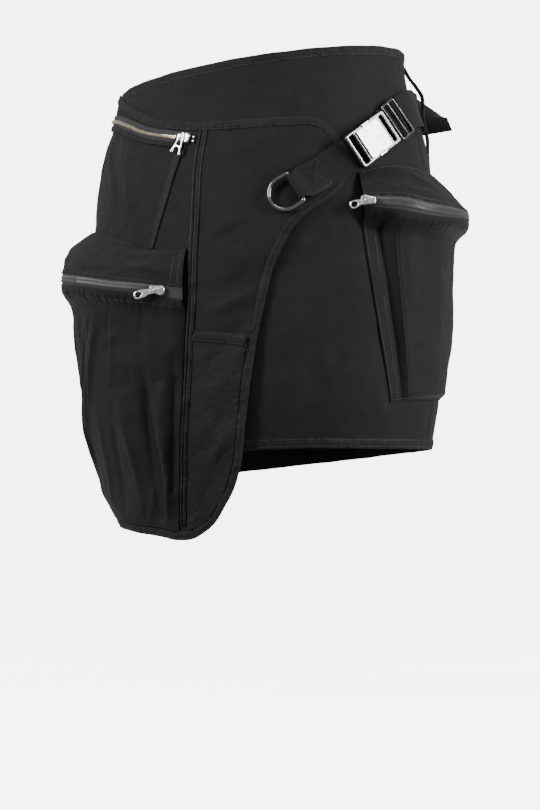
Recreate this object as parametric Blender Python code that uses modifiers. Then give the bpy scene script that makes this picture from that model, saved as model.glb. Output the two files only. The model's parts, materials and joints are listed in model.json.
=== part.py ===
"""Black asymmetrical wrap mini skirt with two cargo pockets and a buckled side strap, as worn.

Metres, +Z up. The wearer faces -Y and the wearer's left is +X. The origin is the middle of the
waist opening. A place on the cloth is a Mark: phi, degrees round from the centre front towards
the wearer's left, and drop, metres below the tilted waist plane.
"""

import bisect
import math
from collections import namedtuple

import bmesh
import bpy
import numpy as np
from mathutils import Matrix, Vector

Mark = namedtuple("Mark", "phi drop")
Crease = namedtuple("Crease", "phi_a drop_a phi_b drop_b height width")

# Walls and layers
WALL = 0.0012
PLY_GAP = 0.0007
LAY_GAP = 0.0004
SEAM_GAP = 0.0008
SIDE_SEAM_GAP = 0.0003
BAND_WIDTH = 0.0082
BAND_RISE = 0.0022
WAIST_BAND_WIDTH = 0.0095
HEM_BAND_WIDTH = 0.0100

# Stance: the waist rises towards the wearer's left front
SLOPE_WAY = Vector((math.cos(math.radians(30.0)), math.sin(math.radians(30.0)), 0.0))
AWAY = Vector((-SLOPE_WAY.y, SLOPE_WAY.x, 0.0))
WAIST_SLOPE = 0.126
WAIST_HALF_WIDTH = 0.1468
WAIST_HALF_DEPTH = 0.1101

# Side seams, degrees round
RIGHT_SEAM = -92.0
LEFT_SEAM = 95.0

# Strap and hardware
RING_STRAP_WIDTH = 0.033
SIDE_STRAP_WIDTH = 0.036
STRAP_GAP = 0.0012
STRAP_RISE = 0.0021
SLIDE_RISE = 0.0013
WEBBING = 0.0013
RING_WIRE = 0.0040
RING_HALF_HEIGHT = 0.0160
RING_LEG = 0.0115
RING_NARROWING = 0.79
BUCKLE_AT = 0.0840
BUCKLE_LENGTH = 0.0570
BUCKLE_WIDTH = 0.0360
BUCKLE_THICK = 0.0060
PLATE_LENGTH = 0.0310
PLATE_WIDTH = 0.0305
SLIDE_AT = 0.1265
SLIDE_LENGTH = 0.0210
SLIDE_WIDTH = 0.0400


class Smooth:
    """A smooth curve through a few (at, value) rows."""

    def __init__(self, *rows):
        self.at = [row[0] for row in rows]
        self.value = [row[1] for row in rows]
        self.slope = [float(slope) for slope in np.gradient(self.value, self.at)]

    def __call__(self, at):
        at = min(max(at, self.at[0]), self.at[-1])
        i = min(bisect.bisect_right(self.at, at), len(self.at) - 1) - 1
        span = self.at[i + 1] - self.at[i]
        t = (at - self.at[i]) / span
        ends = (2 * t**3 - 3 * t**2 + 1) * self.value[i] + (3 * t**2 - 2 * t**3) * self.value[i + 1]
        bends = (t**3 - 2 * t**2 + t) * self.slope[i] + (t**3 - t**2) * self.slope[i + 1]
        return ends + span * bends


def ease(x):
    """0 below 0, 1 above 1, and a soft step between."""
    x = min(max(x, 0.0), 1.0)
    return x * x * (3.0 - 2.0 * x)


def mix(a, b, share):
    return a + (b - a) * share


# The worn form: half width, half depth and shift towards the wearer's left at each drop
HALF_WIDTH = Smooth(
    (0.000, 0.1468), (0.030, 0.1515), (0.080, 0.1650), (0.120, 0.1720), (0.200, 0.1790),
    (0.280, 0.1800), (0.345, 0.1758), (0.385, 0.1685), (0.480, 0.1550),
)
HALF_DEPTH = Smooth(
    (0.000, 0.1101), (0.030, 0.1140), (0.080, 0.1255), (0.120, 0.1325), (0.200, 0.1396),
    (0.280, 0.1404), (0.345, 0.1370), (0.385, 0.1314), (0.480, 0.1210),
)
SHIFT = Smooth(
    (0.000, 0.0000), (0.030, -0.0020), (0.080, 0.0010), (0.120, 0.0025), (0.200, 0.0020),
    (0.280, 0.0035), (0.345, 0.0055), (0.385, 0.0067), (0.480, 0.0067),
)


def form_point(phi, drop, out):
    """The point that is out metres off the worn form at a place on it."""
    turn = math.radians(phi)
    side, front = math.sin(turn), math.cos(turn)
    half_width, half_depth = HALF_WIDTH(drop), HALF_DEPTH(drop)
    rise = WAIST_HALF_WIDTH * side * SLOPE_WAY.x - WAIST_HALF_DEPTH * front * SLOPE_WAY.y
    point = Vector((half_width * side, -half_depth * front, WAIST_SLOPE * rise - drop))
    normal = Vector((side / half_width, -front / half_depth, 0.0)).normalized()
    return point + SLOPE_WAY * SHIFT(drop) + normal * out


# Girth: metres round a middling section, so that the cloth can be drawn flat
GIRTH_WIDTH = 0.172
GIRTH_DEPTH = 0.133
GIRTH_PHI = np.arange(-185.0, 285.5, 0.5)
GIRTH_STEP = np.hypot(
    GIRTH_WIDTH * np.cos(np.radians(GIRTH_PHI)), GIRTH_DEPTH * np.sin(np.radians(GIRTH_PHI))
) * math.radians(0.5)
GIRTH_ALONG = np.cumsum(GIRTH_STEP)
GIRTH_ALONG -= np.interp(0.0, GIRTH_PHI, GIRTH_ALONG)


def girth(phi):
    return float(np.interp(phi, GIRTH_PHI, GIRTH_ALONG))


def phi_at(along):
    return float(np.interp(along, GIRTH_ALONG, GIRTH_PHI))


def relief(creases, phi, drop):
    """Height of soft straight creases at a place: ridges above 0, troughs below."""
    here = np.array((girth(phi), drop))
    total = 0.0
    for crease in creases:
        start = np.array((girth(crease.phi_a), crease.drop_a))
        run = np.array((girth(crease.phi_b), crease.drop_b)) - start
        length = float(np.hypot(*run))
        along = float((here - start) @ run) / length**2
        if not 0.0 < along < 1.0:
            continue
        aside = float(np.cross(run, here - start)) / length
        fade = 1.0 - (2.0 * along - 1.0) ** 4
        total += crease.height * fade * math.exp(-((aside / crease.width) ** 2))
    return total


class Line:
    """A smooth line on the flat cloth, walked from 0 to 1 by its length."""

    def __init__(self, points):
        self.points = np.asarray(points, float)
        steps = np.hypot(*np.diff(self.points, axis=0).T)
        self.along = np.concatenate(([0.0], np.cumsum(steps)))
        self.length = float(self.along[-1])

    @classmethod
    def through(cls, marks, per_span=10):
        """A Catmull-Rom line through a few Marks."""
        flat = [np.array((girth(mark.phi), mark.drop)) for mark in marks]
        flat = [2 * flat[0] - flat[1], *flat, 2 * flat[-1] - flat[-2]]
        points = []
        for a, b, c, d in zip(flat, flat[1:], flat[2:], flat[3:]):
            for step in range(per_span):
                t = step / per_span
                bend = (2 * a - 5 * b + 4 * c - d) * t**2 + (3 * b - a - 3 * c + d) * t**3
                points.append(b + 0.5 * ((c - a) * t + bend))
        points.append(flat[-2])
        return cls(points)

    def at(self, share):
        """Point at a share of the length, as (girth, drop)."""
        along = share * self.length
        return np.array([np.interp(along, self.along, self.points[:, i]) for i in (0, 1)])

    def heading(self, share):
        reach = 0.002 / self.length
        share = min(max(share, 0.0), 1.0)
        run = self.at(min(share + reach, 1.0)) - self.at(max(share - reach, 0.0))
        return run / np.hypot(*run)

    def beside(self, share, across):
        """Point at a distance to the right-hand side of someone walking the line."""
        run = self.heading(share)
        past = max(share - 1.0, 0.0) + min(share, 0.0)
        return self.at(share) + run * past * self.length + across * np.array((-run[1], run[0]))

    def offset(self, across, count=160):
        return Line([self.beside(i / count, across) for i in range(count + 1)])

    def share_near(self, mark):
        gaps = np.hypot(*(self.points - np.array((girth(mark.phi), mark.drop))).T)
        return float(self.along[int(np.argmin(gaps))]) / self.length

    def part(self, start, end, count=80):
        return Line([self.at(mix(start, end, i / count)) for i in range(count + 1)])


def joined(*lines):
    return Line(np.concatenate([line.points for line in lines]))


def coons(top, bottom, left, right, u, v):
    """Place inside four edge Lines, which run left to right and top to bottom."""
    corners = (1 - u) * (1 - v) * top.at(0) + u * (1 - v) * top.at(1)
    corners = corners + (1 - u) * v * bottom.at(0) + u * v * bottom.at(1)
    across = (1 - v) * top.at(u) + v * bottom.at(u)
    along, drop = across + (1 - u) * left.at(v) + u * right.at(v) - corners
    return phi_at(along), float(drop)


# The under layer
BODY_CREASES = (
    Crease(47.0, 0.150, 40.0, 0.360, -0.0012, 0.020),
    Crease(33.0, 0.230, 30.0, 0.370, 0.0010, 0.016),
    Crease(-150.0, 0.120, -158.0, 0.360, 0.0012, 0.024),
    Crease(172.0, 0.100, 165.0, 0.360, -0.0012, 0.026),
)


def waist_edge(phi):
    return -0.001 - 0.005 * math.cos(math.radians(phi - 20.0))


def body_hem_edge(phi):
    away = (phi + 180.0) % 360.0 - 180.0 - 8.0
    return 0.392 - 0.018 * math.exp(-((away / 55.0) ** 2))


def body_inner(phi, drop):
    """How far the inner face of the under layer stands off the form."""
    fold_phi = phi if phi < 180.0 else phi - 360.0
    return 0.0014 + relief(BODY_CREASES, fold_phi, drop)


def body_outer(phi, drop):
    return body_inner(phi, drop) + WALL


# The outer wrap's cut edge, clockwise from its top at the wearer's right side
WRAP_OUTLINE = (
    Mark(-66.0, -0.0030), Mark(-58.0, 0.0015), Mark(-48.9, 0.0084), Mark(-39.9, 0.0160),
    Mark(-30.2, 0.0261), Mark(-22.9, 0.0344), Mark(-14.5, 0.0419), Mark(-2.7, 0.0500),
    Mark(12.9, 0.0559), Mark(34.4, 0.0602), Mark(41.6, 0.0622), Mark(46.9, 0.0680),
    Mark(51.0, 0.0814), Mark(54.0, 0.0980), Mark(54.6, 0.1130), Mark(52.8, 0.1255),
    Mark(49.2, 0.1365), Mark(44.5, 0.1450), Mark(39.4, 0.1530), Mark(35.4, 0.1630),
    Mark(32.3, 0.1760), Mark(29.8, 0.1910), Mark(27.5, 0.2080), Mark(25.2, 0.2340),
    Mark(23.0, 0.2620), Mark(21.0, 0.2940), Mark(19.2, 0.3270), Mark(17.8, 0.3600),
    Mark(16.4, 0.3860), Mark(13.8, 0.4090), Mark(10.3, 0.4260), Mark(5.4, 0.4420),
    Mark(-2.0, 0.4525), Mark(-10.0, 0.4530), Mark(-17.0, 0.4480), Mark(-27.5, 0.4430),
    Mark(-42.0, 0.4365), Mark(-54.0, 0.4320), Mark(-64.0, 0.4270), Mark(-73.0, 0.4180),
    Mark(-80.0, 0.4020), Mark(-85.0, 0.3780), Mark(-89.0, 0.3450), Mark(-91.2, 0.3050),
)
WRAP_TIP = Mark(54.6, 0.1130)
WRAP_NOTCH = Mark(16.0, 0.3900)
WRAP_FRONT_CORNER = Mark(11.5, 0.4200)
WRAP_SIDE_CORNER = Mark(-73.0, 0.4180)

WRAP_CREASES = (
    Crease(5.0, 0.225, 31.0, 0.205, -0.0022, 0.013),
    Crease(4.0, 0.300, 27.0, 0.225, -0.0022, 0.014),
    Crease(-4.0, 0.375, 19.0, 0.320, -0.0028, 0.015),
    Crease(-38.0, 0.060, -24.0, 0.130, 0.0022, 0.012),
    Crease(-60.0, 0.040, -60.0, 0.130, 0.0020, 0.010),
    Crease(-30.0, 0.055, -16.0, 0.115, -0.0016, 0.012),
)


def wrap_inner(phi, drop):
    """How far the inner face of the wrap stands off the form."""
    room = 0.0030 * ease((phi - 3.0) / 8.0) * ease((46.0 - phi) / 12.0) * ease((drop - 0.10) / 0.06)
    room += 0.0016 * ease((-4.0 - phi) / 8.0) * ease((drop - 0.03) / 0.04)
    kick = 0.0050 * ease((drop - 0.25) / 0.13) * math.exp(-(((phi - 17.0) / 14.0) ** 2))
    curl = 0.0090 * ease((drop - 0.395) / 0.035) * ease((-32.0 - phi) / 30.0)
    lift = max(0.0, room + relief(WRAP_CREASES, phi, drop))
    return body_outer(phi, drop) + PLY_GAP + lift + kick - curl


def wrap_outer(phi, drop):
    return wrap_inner(phi, drop) + WALL


# Centre welt, patch pocket and waist zip, which lie on the wrap
WELT = (
    Mark(3.2, 0.0625), Mark(1.5, 0.0990), Mark(1.6, 0.1580), Mark(1.5, 0.2160), Mark(0.7, 0.2540),
    Mark(-1.4, 0.3200), Mark(-4.0, 0.3675), Mark(-6.0, 0.4150), Mark(-6.7, 0.4430),
)
WELT_HALF_WIDTH = 0.0045
PATCH_TOP = (Mark(3.4, 0.2560), Mark(12.0, 0.2610), Mark(21.5, 0.2675))
PATCH_HEM_WIDTH = 0.0100
PATCH_GAP = 0.0007
WAIST_ZIP = (
    Mark(-86.0, 0.0230), Mark(-66.8, 0.0240), Mark(-48.0, 0.0300), Mark(-34.4, 0.0400),
    Mark(-26.6, 0.0480), Mark(-20.5, 0.0535), Mark(-15.2, 0.0577), Mark(-10.4, 0.0611),
    Mark(-6.0, 0.0640), Mark(-1.9, 0.0668),
)
WAIST_TAPE_WIDTH = 0.0120
WAIST_TEETH_WIDTH = 0.0050
WAIST_SLIDER_AT = Mark(-4.3, 0.0652)
PULL_TAPE = (
    Mark(-6.5, 0.0800), Mark(-9.0, 0.1045), Mark(-11.4, 0.1330), Mark(-13.8, 0.1610),
)

# Front cargo pocket
FRONT_LEFT, FRONT_RIGHT = -84.0, -0.6
FRONT_HOOD_TOP = Smooth(
    (-84.0, 0.1320), (-62.5, 0.1370), (-44.0, 0.1440), (-26.0, 0.1570), (-16.0, 0.1690),
    (-8.6, 0.1730), (-0.5, 0.1745),
)
FRONT_ZIP_TOP = Smooth(
    (-84.0, 0.1740), (-62.2, 0.1775), (-34.7, 0.1884), (-22.0, 0.1971), (-12.5, 0.2030),
    (-5.2, 0.2089), (-0.5, 0.2125),
)
FRONT_ZIP_LOW = Smooth(
    (-84.0, 0.1850), (-63.8, 0.1890), (-31.3, 0.2024), (-19.1, 0.2104), (-10.6, 0.2158),
    (-4.8, 0.2215), (-0.5, 0.2250),
)
FRONT_ZIP_OUT = Smooth(
    (-84.0, 0.0020), (-78.0, 0.0120), (-70.0, 0.0220), (-62.0, 0.0260), (-34.0, 0.0262),
    (-22.0, 0.0240), (-12.5, 0.0185), (-5.2, 0.0100), (-0.5, 0.0065),
)
FRONT_BAG_OUT = Smooth(
    (0.185, 0.0250), (0.200, 0.0235), (0.215, 0.0170), (0.232, 0.0140), (0.280, 0.0105),
    (0.330, 0.0070), (0.360, 0.0050), (0.385, 0.0035), (0.430, 0.0022),
)
FRONT_BAG_PROFILE = Smooth(
    (0.00, 0.00), (0.08, 0.35), (0.20, 0.88), (0.30, 1.00), (0.60, 1.05), (0.80, 0.95),
    (0.91, 0.75), (0.97, 0.42), (1.00, 0.02),
)
FRONT_BAG_LEFT = (
    Mark(-84.0, 0.1856), Mark(-84.0, 0.2500), Mark(-83.0, 0.3200), Mark(-79.5, 0.3650),
    Mark(-73.0, 0.3980), Mark(-64.0, 0.4160),
)
BAG_CREASES = (
    Crease(-33.0, 0.222, -62.0, 0.385, 0.0036, 0.0060),
    Crease(-43.0, 0.215, -70.0, 0.370, -0.0030, 0.0100),
    Crease(-15.4, 0.285, -14.4, 0.436, -0.0062, 0.0070),
    Crease(-8.5, 0.300, -12.0, 0.432, 0.0048, 0.0075),
    Crease(-3.4, 0.270, -9.0, 0.410, -0.0040, 0.0045),
    Crease(-24.0, 0.300, -25.0, 0.430, 0.0032, 0.0120),
)

# Hip cargo pocket
HIP_LEFT, HIP_RIGHT = 57.2, 141.0
HIP_HOOD_TOP = Smooth(
    (56.0, 0.1210), (61.0, 0.1165), (66.0, 0.1145), (73.0, 0.1140), (95.6, 0.1200),
    (120.0, 0.1240), (142.0, 0.1260),
)
HIP_ZIP_TOP = Smooth(
    (57.0, 0.1420), (68.7, 0.1452), (78.5, 0.1514), (94.6, 0.1555), (118.0, 0.1575), (142.0, 0.1560),
)
HIP_ZIP_LOW = Smooth(
    (57.0, 0.1534), (68.4, 0.1600), (78.2, 0.1655), (98.0, 0.1670), (118.0, 0.1690), (142.0, 0.1670),
)
HIP_ZIP_OUT = Smooth(
    (57.0, 0.0080), (62.0, 0.0160), (68.7, 0.0250), (78.5, 0.0300), (94.6, 0.0305),
    (111.0, 0.0305), (121.0, 0.0300), (131.0, 0.0235), (137.0, 0.0140), (141.5, 0.0020),
)
HIP_BAG_OUT = Smooth(
    (0.150, 0.0295), (0.165, 0.0240), (0.185, 0.0170), (0.230, 0.0120), (0.280, 0.0092),
    (0.320, 0.0062), (0.343, 0.0040),
)
HIP_BAG_SIDE = Smooth(
    (0.155, 57.3), (0.170, 57.5), (0.195, 58.7), (0.224, 60.3), (0.263, 62.6), (0.301, 65.3),
    (0.343, 68.4),
)
HIP_BAG_BOTTOM = 0.3425
HIP_MIDDLE = 99.2
HIP_BAG_PROFILE = (
    (0.000, 0.00), (0.030, 0.02), (0.060, 0.03), (0.080, 0.00), (0.095, 0.40), (0.115, 0.85),
    (0.150, 1.00), (0.220, 1.02), (0.300, 1.04), (0.400, 1.05), (0.500, 1.05),
)

# The strap's middle line, from the ring's bar round the wearer's left hip
STRAP = (
    Mark(34.8, 0.1298), Mark(45.0, 0.1155), Mark(54.0, 0.1025), Mark(64.0, 0.0885),
    Mark(74.0, 0.0755), Mark(81.7, 0.0665), Mark(92.0, 0.0590), Mark(105.0, 0.0550),
    Mark(120.0, 0.0550), Mark(140.0, 0.0565), Mark(154.0, 0.0580),
)
LOOP_AT = 121.0
LOOP_WIDTH = 0.0100
LOOP_OUT = Smooth(
    (0.0095, 0.0007), (0.018, 0.0046), (0.028, 0.0112), (0.038, 0.0155), (0.048, 0.0135),
    (0.060, 0.0092), (0.072, 0.0070), (0.082, 0.0062), (0.096, 0.0028), (0.112, 0.0006),
)

# The tail inside the loop, as (phi, how far out its top, middle and low edge stand), and its free
# end, as (out along the slope, away behind, z) for the same three
TAIL_IN_LOOP = (
    (112.0, 0.0048, 0.0034, 0.0030), (117.5, 0.0088, 0.0042, 0.0032),
    (123.6, 0.0100, 0.0050, 0.0038), (126.6, 0.0125, 0.0066, 0.0054),
)
TAIL_END = ((0.1850, 0.0160, -0.0410), (0.1862, -0.0020, -0.0420), (0.1910, -0.0100, -0.0550))


# Mesh building
def material(name, colour, roughness, metallic=0.0):
    """A plain Principled material, made once."""
    found = bpy.data.materials.get(name)
    if found:
        return found
    made = bpy.data.materials.new(name)
    made.use_nodes = True
    shader = made.node_tree.nodes["Principled BSDF"]
    shader.inputs["Base Color"].default_value = (*colour, 1.0)
    shader.inputs["Roughness"].default_value = roughness
    shader.inputs["Metallic"].default_value = metallic
    return made


def twill():
    return material("black_twill", (0.013, 0.013, 0.014), 0.86)


def webbing_cloth():
    return material("black_webbing", (0.010, 0.009, 0.010), 0.80)


def zip_tape_cloth():
    return material("charcoal_zip", (0.045, 0.046, 0.050), 0.62)


def silver():
    return material("silver_metal", (0.62, 0.60, 0.57), 0.24, 1.0)


def dark_metal():
    return material("black_nickel", (0.05, 0.05, 0.055), 0.22, 1.0)


def brass():
    return material("pale_brass", (0.62, 0.55, 0.40), 0.28, 1.0)


def add_object(name, data, finish, place=None):
    """Puts a mesh or curve in the skirt's collection, at its place."""
    made = bpy.data.objects.new(name, data)
    bpy.data.collections["wrap_mini_skirt"].objects.link(made)
    data.materials.append(finish)
    if place is not None:
        made.matrix_world = place
    return made


def add_mesh(name, bm, finish, place=None, soft_angle=50.0):
    bmesh.ops.recalc_face_normals(bm, faces=bm.faces[:])
    mesh = bpy.data.meshes.new(name)
    bm.to_mesh(mesh)
    bm.free()
    mesh.shade_smooth()
    mesh.set_sharp_from_angle(angle=math.radians(soft_angle))
    return add_object(name, mesh, finish, place)


def sheet(name, surface, columns, rows, wall=WALL, finish=None):
    """A sheet of cloth: surface(u, v) is its inner face, u to the right and v down."""
    bm = bmesh.new()
    bmesh.ops.create_grid(bm, x_segments=columns, y_segments=rows, size=0.5)
    for vert in bm.verts:
        vert.co = surface(vert.co.x + 0.5, 0.5 - vert.co.y)
    mesh = bpy.data.meshes.new(name)
    bm.to_mesh(mesh)
    bm.free()
    mesh.shade_smooth()
    made = add_object(name, mesh, finish or twill())
    shell = made.modifiers.new("wall", "SOLIDIFY")
    shell.thickness = wall
    shell.offset = 1.0
    return made


def sweep(name, place, section, count, finish, ring=False, stations=None):
    """A closed strip: place(share, across, lift) carries the section's (across, lift) points along."""
    bm = bmesh.new()
    last = count if ring else count + 1
    shares = stations or [i / count for i in range(last)]
    loops = [[bm.verts.new(place(share, *point)) for point in section] for share in shares]
    pairs = list(zip(loops, loops[1:]))
    if ring:
        pairs.append((loops[-1], loops[0]))
    for near, far in pairs:
        for i, vert in enumerate(near):
            j = (i + 1) % len(near)
            bm.faces.new((vert, near[j], far[j], far[i]))
    if not ring:
        bm.faces.new(loops[0])
        bm.faces.new(list(reversed(loops[-1])))
    return add_mesh(name, bm, finish)


def on_cloth(surface, flat, lift):
    """Point lift metres off a cloth surface at a (girth, drop) place."""
    phi, drop = phi_at(flat[0]), float(flat[1])
    return form_point(phi, drop, surface(phi, drop) + lift)


def along_line(line, surface):
    def place(share, across, lift):
        return on_cloth(surface, line.beside(share, across), lift)

    return place


def band_section(width, low, high, edge=0.0):
    """A flat band with its outer edge rounded over."""
    soft = min(0.0008, 0.45 * (high - low))
    return (
        (edge, low + soft), (edge, high - soft), (edge + soft, high), (edge + width, high),
        (edge + width, low), (edge + soft, low),
    )


def frame_of(place, share, lift, turn=0.0):
    """Matrix at place(share, 0, lift): X along the line, Z off the cloth, turned about Z in degrees."""
    reach = 0.002
    origin = place(share, 0.0, lift)
    along = (place(share + reach, 0.0, lift) - place(share - reach, 0.0, lift)).normalized()
    up = (place(share, -reach, lift) - place(share, reach, lift)).normalized()
    out = along.cross(up).normalized()
    up = out.cross(along)
    axes = Matrix((along, up, out)).transposed().to_4x4()
    return Matrix.Translation(origin) @ axes @ Matrix.Rotation(math.radians(turn), 4, "Z")


def outline_points(points, corner, steps=3):
    """A closed outline with its corners rounded: corner is one radius or one for each point."""
    radii = corner if isinstance(corner, (list, tuple)) else [corner] * len(points)
    rounded = []
    for i, point in enumerate(points):
        here = Vector(point)
        back = (Vector(points[i - 1]) - here).normalized()
        ahead = (Vector(points[(i + 1) % len(points)]) - here).normalized()
        half = 0.5 * back.angle(ahead)
        if radii[i] <= 0.0:
            rounded.append(here)
            continue
        reach = radii[i] / math.tan(half)
        centre = here + (back + ahead).normalized() * radii[i] / math.sin(half)
        start, end = here + back * reach - centre, here + ahead * reach - centre
        sweep_angle = start.angle_signed(end)
        for step in range(steps + 1):
            turned = start.copy()
            turned.rotate(Matrix.Rotation(-sweep_angle * step / steps, 2))
            rounded.append(centre + turned)
    return rounded


def plate(name, outlines, thick, finish, place, edge=0.0003, height=0.0):
    """A flat plate with windows, thick metres in Z from height, its edges broken."""
    curve = bpy.data.curves.new(name, "CURVE")
    curve.dimensions = "2D"
    curve.fill_mode = "BOTH"
    curve.extrude = 0.5 * thick - edge
    curve.bevel_depth = edge
    curve.bevel_resolution = 0
    curve.offset = -edge
    for outline in outlines:
        spline = curve.splines.new("POLY")
        spline.points.add(len(outline) - 1)
        for target, point in zip(spline.points, outline):
            target.co = (point[0], point[1], 0.0, 1.0)
        spline.use_cyclic_u = True
    lifted = place @ Matrix.Translation((0.0, 0.0, height + 0.5 * thick))
    return add_object(name, curve, finish, lifted)


def box_outline(x_low, x_high, y_low, y_high, corner=0.0, steps=3):
    corners = ((x_low, y_low), (x_high, y_low), (x_high, y_high), (x_low, y_high))
    return outline_points(corners, corner, steps)


def wire(name, points, radius, finish, place):
    """A closed loop of round wire."""
    curve = bpy.data.curves.new(name, "CURVE")
    curve.dimensions = "3D"
    curve.bevel_depth = radius
    curve.bevel_resolution = 2
    spline = curve.splines.new("POLY")
    spline.points.add(len(points) - 1)
    for target, point in zip(spline.points, points):
        target.co = (*point, 1.0)
    spline.use_cyclic_u = True
    return add_object(name, curve, finish, place)


# Under layer
def build_body_panel(name, phi_from, phi_to, columns):
    def surface(u, v):
        phi = mix(phi_from, phi_to, u)
        top = waist_edge(phi) + WAIST_BAND_WIDTH + SEAM_GAP
        drop = mix(top, body_hem_edge(phi) - HEM_BAND_WIDTH - SEAM_GAP, v**1.35)
        return form_point(phi, drop, body_inner(phi, drop))

    sheet(name, surface, columns, 10)


def build_body():
    half_gap = 0.5 * SIDE_SEAM_GAP / 0.0024
    build_body_panel("body_front", RIGHT_SEAM + half_gap, LEFT_SEAM - half_gap, 28)
    build_body_panel("body_back", LEFT_SEAM + half_gap, 360.0 + RIGHT_SEAM - half_gap, 26)


def build_body_band(name, edge, width, low, high):
    """A band all round: edge(phi) is its outer edge's drop, and it reaches width metres from it."""

    def place(share, across, lift):
        phi = -180.0 + 360.0 * share
        drop = edge(phi) + across
        return form_point(phi, drop, body_inner(phi, drop) + lift)

    section = band_section(abs(width), low, high)
    if width < 0.0:
        section = [(-across, lift) for across, lift in section]
    sweep(name, place, section, 48, twill(), ring=True)


# Wrap layer
def wrap_lines():
    """The wrap's cut edge, the seam inside its bands, and the cut edge's shares at the corners."""
    outline = Line.through(WRAP_OUTLINE)
    seam = outline.offset(BAND_WIDTH + SEAM_GAP, 320)
    marks = (WRAP_TIP, WRAP_NOTCH, WRAP_FRONT_CORNER, WRAP_SIDE_CORNER)
    return outline, seam, [outline.share_near(mark) for mark in marks]


def build_wrap_panel():
    outline, seam, (tip, _, front_corner, side_corner) = wrap_lines()
    start = outline.share_near(Mark(-59.0, 0.001))
    waist_part = Line.through(
        (Mark(RIGHT_SEAM + 0.6, 0.0108), Mark(-80.0, 0.0106), Mark(-70.0, 0.0104))
    )
    top = joined(waist_part, seam.part(start, tip))
    right = seam.part(tip, front_corner)
    bottom = seam.part(side_corner, front_corner)
    side_seam = Line.through((Mark(RIGHT_SEAM + 0.6, 0.0108), Mark(RIGHT_SEAM + 0.6, 0.2950)))
    left = joined(side_seam, seam.part(0.985, side_corner))

    def surface(u, v):
        phi, drop = coons(top, bottom, left, right, u, v)
        return form_point(phi, drop, wrap_inner(phi, drop))

    sheet("wrap_panel", surface, 28, 23)


def build_wrap_bands():
    outline, _, (tip, notch, _, _) = wrap_lines()
    gap = 0.5 * SEAM_GAP / outline.length
    section = band_section(BAND_WIDTH, 0.0, BAND_RISE)
    whole = along_line(outline, wrap_inner)
    stretches = (
        ("wrap_top_binding", 0.0, tip - gap, 32),
        ("wrap_edge_binding", tip + gap, notch - gap, 28),
        ("wrap_hem_band", notch + gap, 0.975, 36),
    )
    for name, start, end, count in stretches:
        shares = [mix(start, end, i / count) for i in range(count + 1)]
        sweep(name, whole, section, count, twill(), stations=shares)


def welt_line():
    return Line.through(WELT)


def build_welt():
    line = welt_line()
    on_wrap = along_line(line, wrap_outer)

    def place(share, across, lift):
        return on_wrap(share, across * mix(1.0, 0.72, share), lift)

    half = WELT_HALF_WIDTH
    section = (
        (-half, LAY_GAP), (-half, 0.0014), (-0.0022, 0.0028), (0.0, 0.0013), (0.0024, 0.0029),
        (half, 0.0013), (half, LAY_GAP),
    )
    start = (BAND_WIDTH + SEAM_GAP) / line.length * 0.2
    shares = [mix(start, 0.985, i / 30) for i in range(31)]
    sweep("centre_welt", place, section, 30, twill(), stations=shares)


def patch_edges():
    """The patch pocket's four edges, under its top hem."""
    _, seam, (_, _, front_corner, side_corner) = wrap_lines()
    welt = welt_line()
    beside_welt = welt.offset(-(WELT_HALF_WIDTH + SEAM_GAP))
    clear = seam.offset(SEAM_GAP, 320)
    top = Line.through(PATCH_TOP)
    right_start = clear.share_near(PATCH_TOP[-1])
    left = beside_welt.part(beside_welt.share_near(PATCH_TOP[0]), 0.97)
    right = clear.part(right_start, front_corner)
    low = clear.share_near(Mark(-5.0, 0.4440))
    bottom = clear.part(low, front_corner)
    left = Line(np.concatenate([left.points, [bottom.at(0)]]))
    top = Line(np.concatenate([[left.at(0)], top.points[3:-3], [right.at(0)]]))
    return top, bottom, left, right


def build_patch():
    top, bottom, left, right = patch_edges()
    hem_share = PATCH_HEM_WIDTH / left.length
    gap_share = SEAM_GAP / left.length

    def surface(u, v):
        phi, drop = coons(top, bottom, left, right, u, mix(hem_share + gap_share, 1.0, v))
        return form_point(phi, drop, wrap_outer(phi, drop) + PATCH_GAP)

    patch = material("ink_twill", (0.014, 0.015, 0.019), 0.86)
    sheet("wrap_patch", surface, 10, 11, finish=patch)

    def place(share, across, lift):
        phi, drop = coons(top, bottom, left, right, share, across)
        return form_point(phi, drop, wrap_outer(phi, drop) + lift)

    section = (
        (0.0, PATCH_GAP), (0.0, 0.0022), (0.1 * hem_share, 0.0027), (hem_share, 0.0027),
        (hem_share, PATCH_GAP),
    )
    sweep("patch_hem", place, section, 12, patch)


def build_waist_zip():
    line = Line.through(WAIST_ZIP)
    place = along_line(line, wrap_outer)
    half = 0.5 * WAIST_TAPE_WIDTH
    tape = ((-half, 0.0008), (-half, 0.0014), (half, 0.0014), (half, 0.0008))
    sweep("waist_zip_tape", place, tape, 30, twill())
    half = 0.5 * WAIST_TEETH_WIDTH
    teeth = (
        (-half, 0.0017), (-half, 0.0028), (-half + 0.0008, 0.0035), (half - 0.0008, 0.0035),
        (half, 0.0028), (half, 0.0017),
    )
    end = line.share_near(Mark(-7.6, 0.063))
    sweep("waist_zip_teeth", along_line(line.part(0.0, end), wrap_outer), teeth, 26, brass())
    return line


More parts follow.
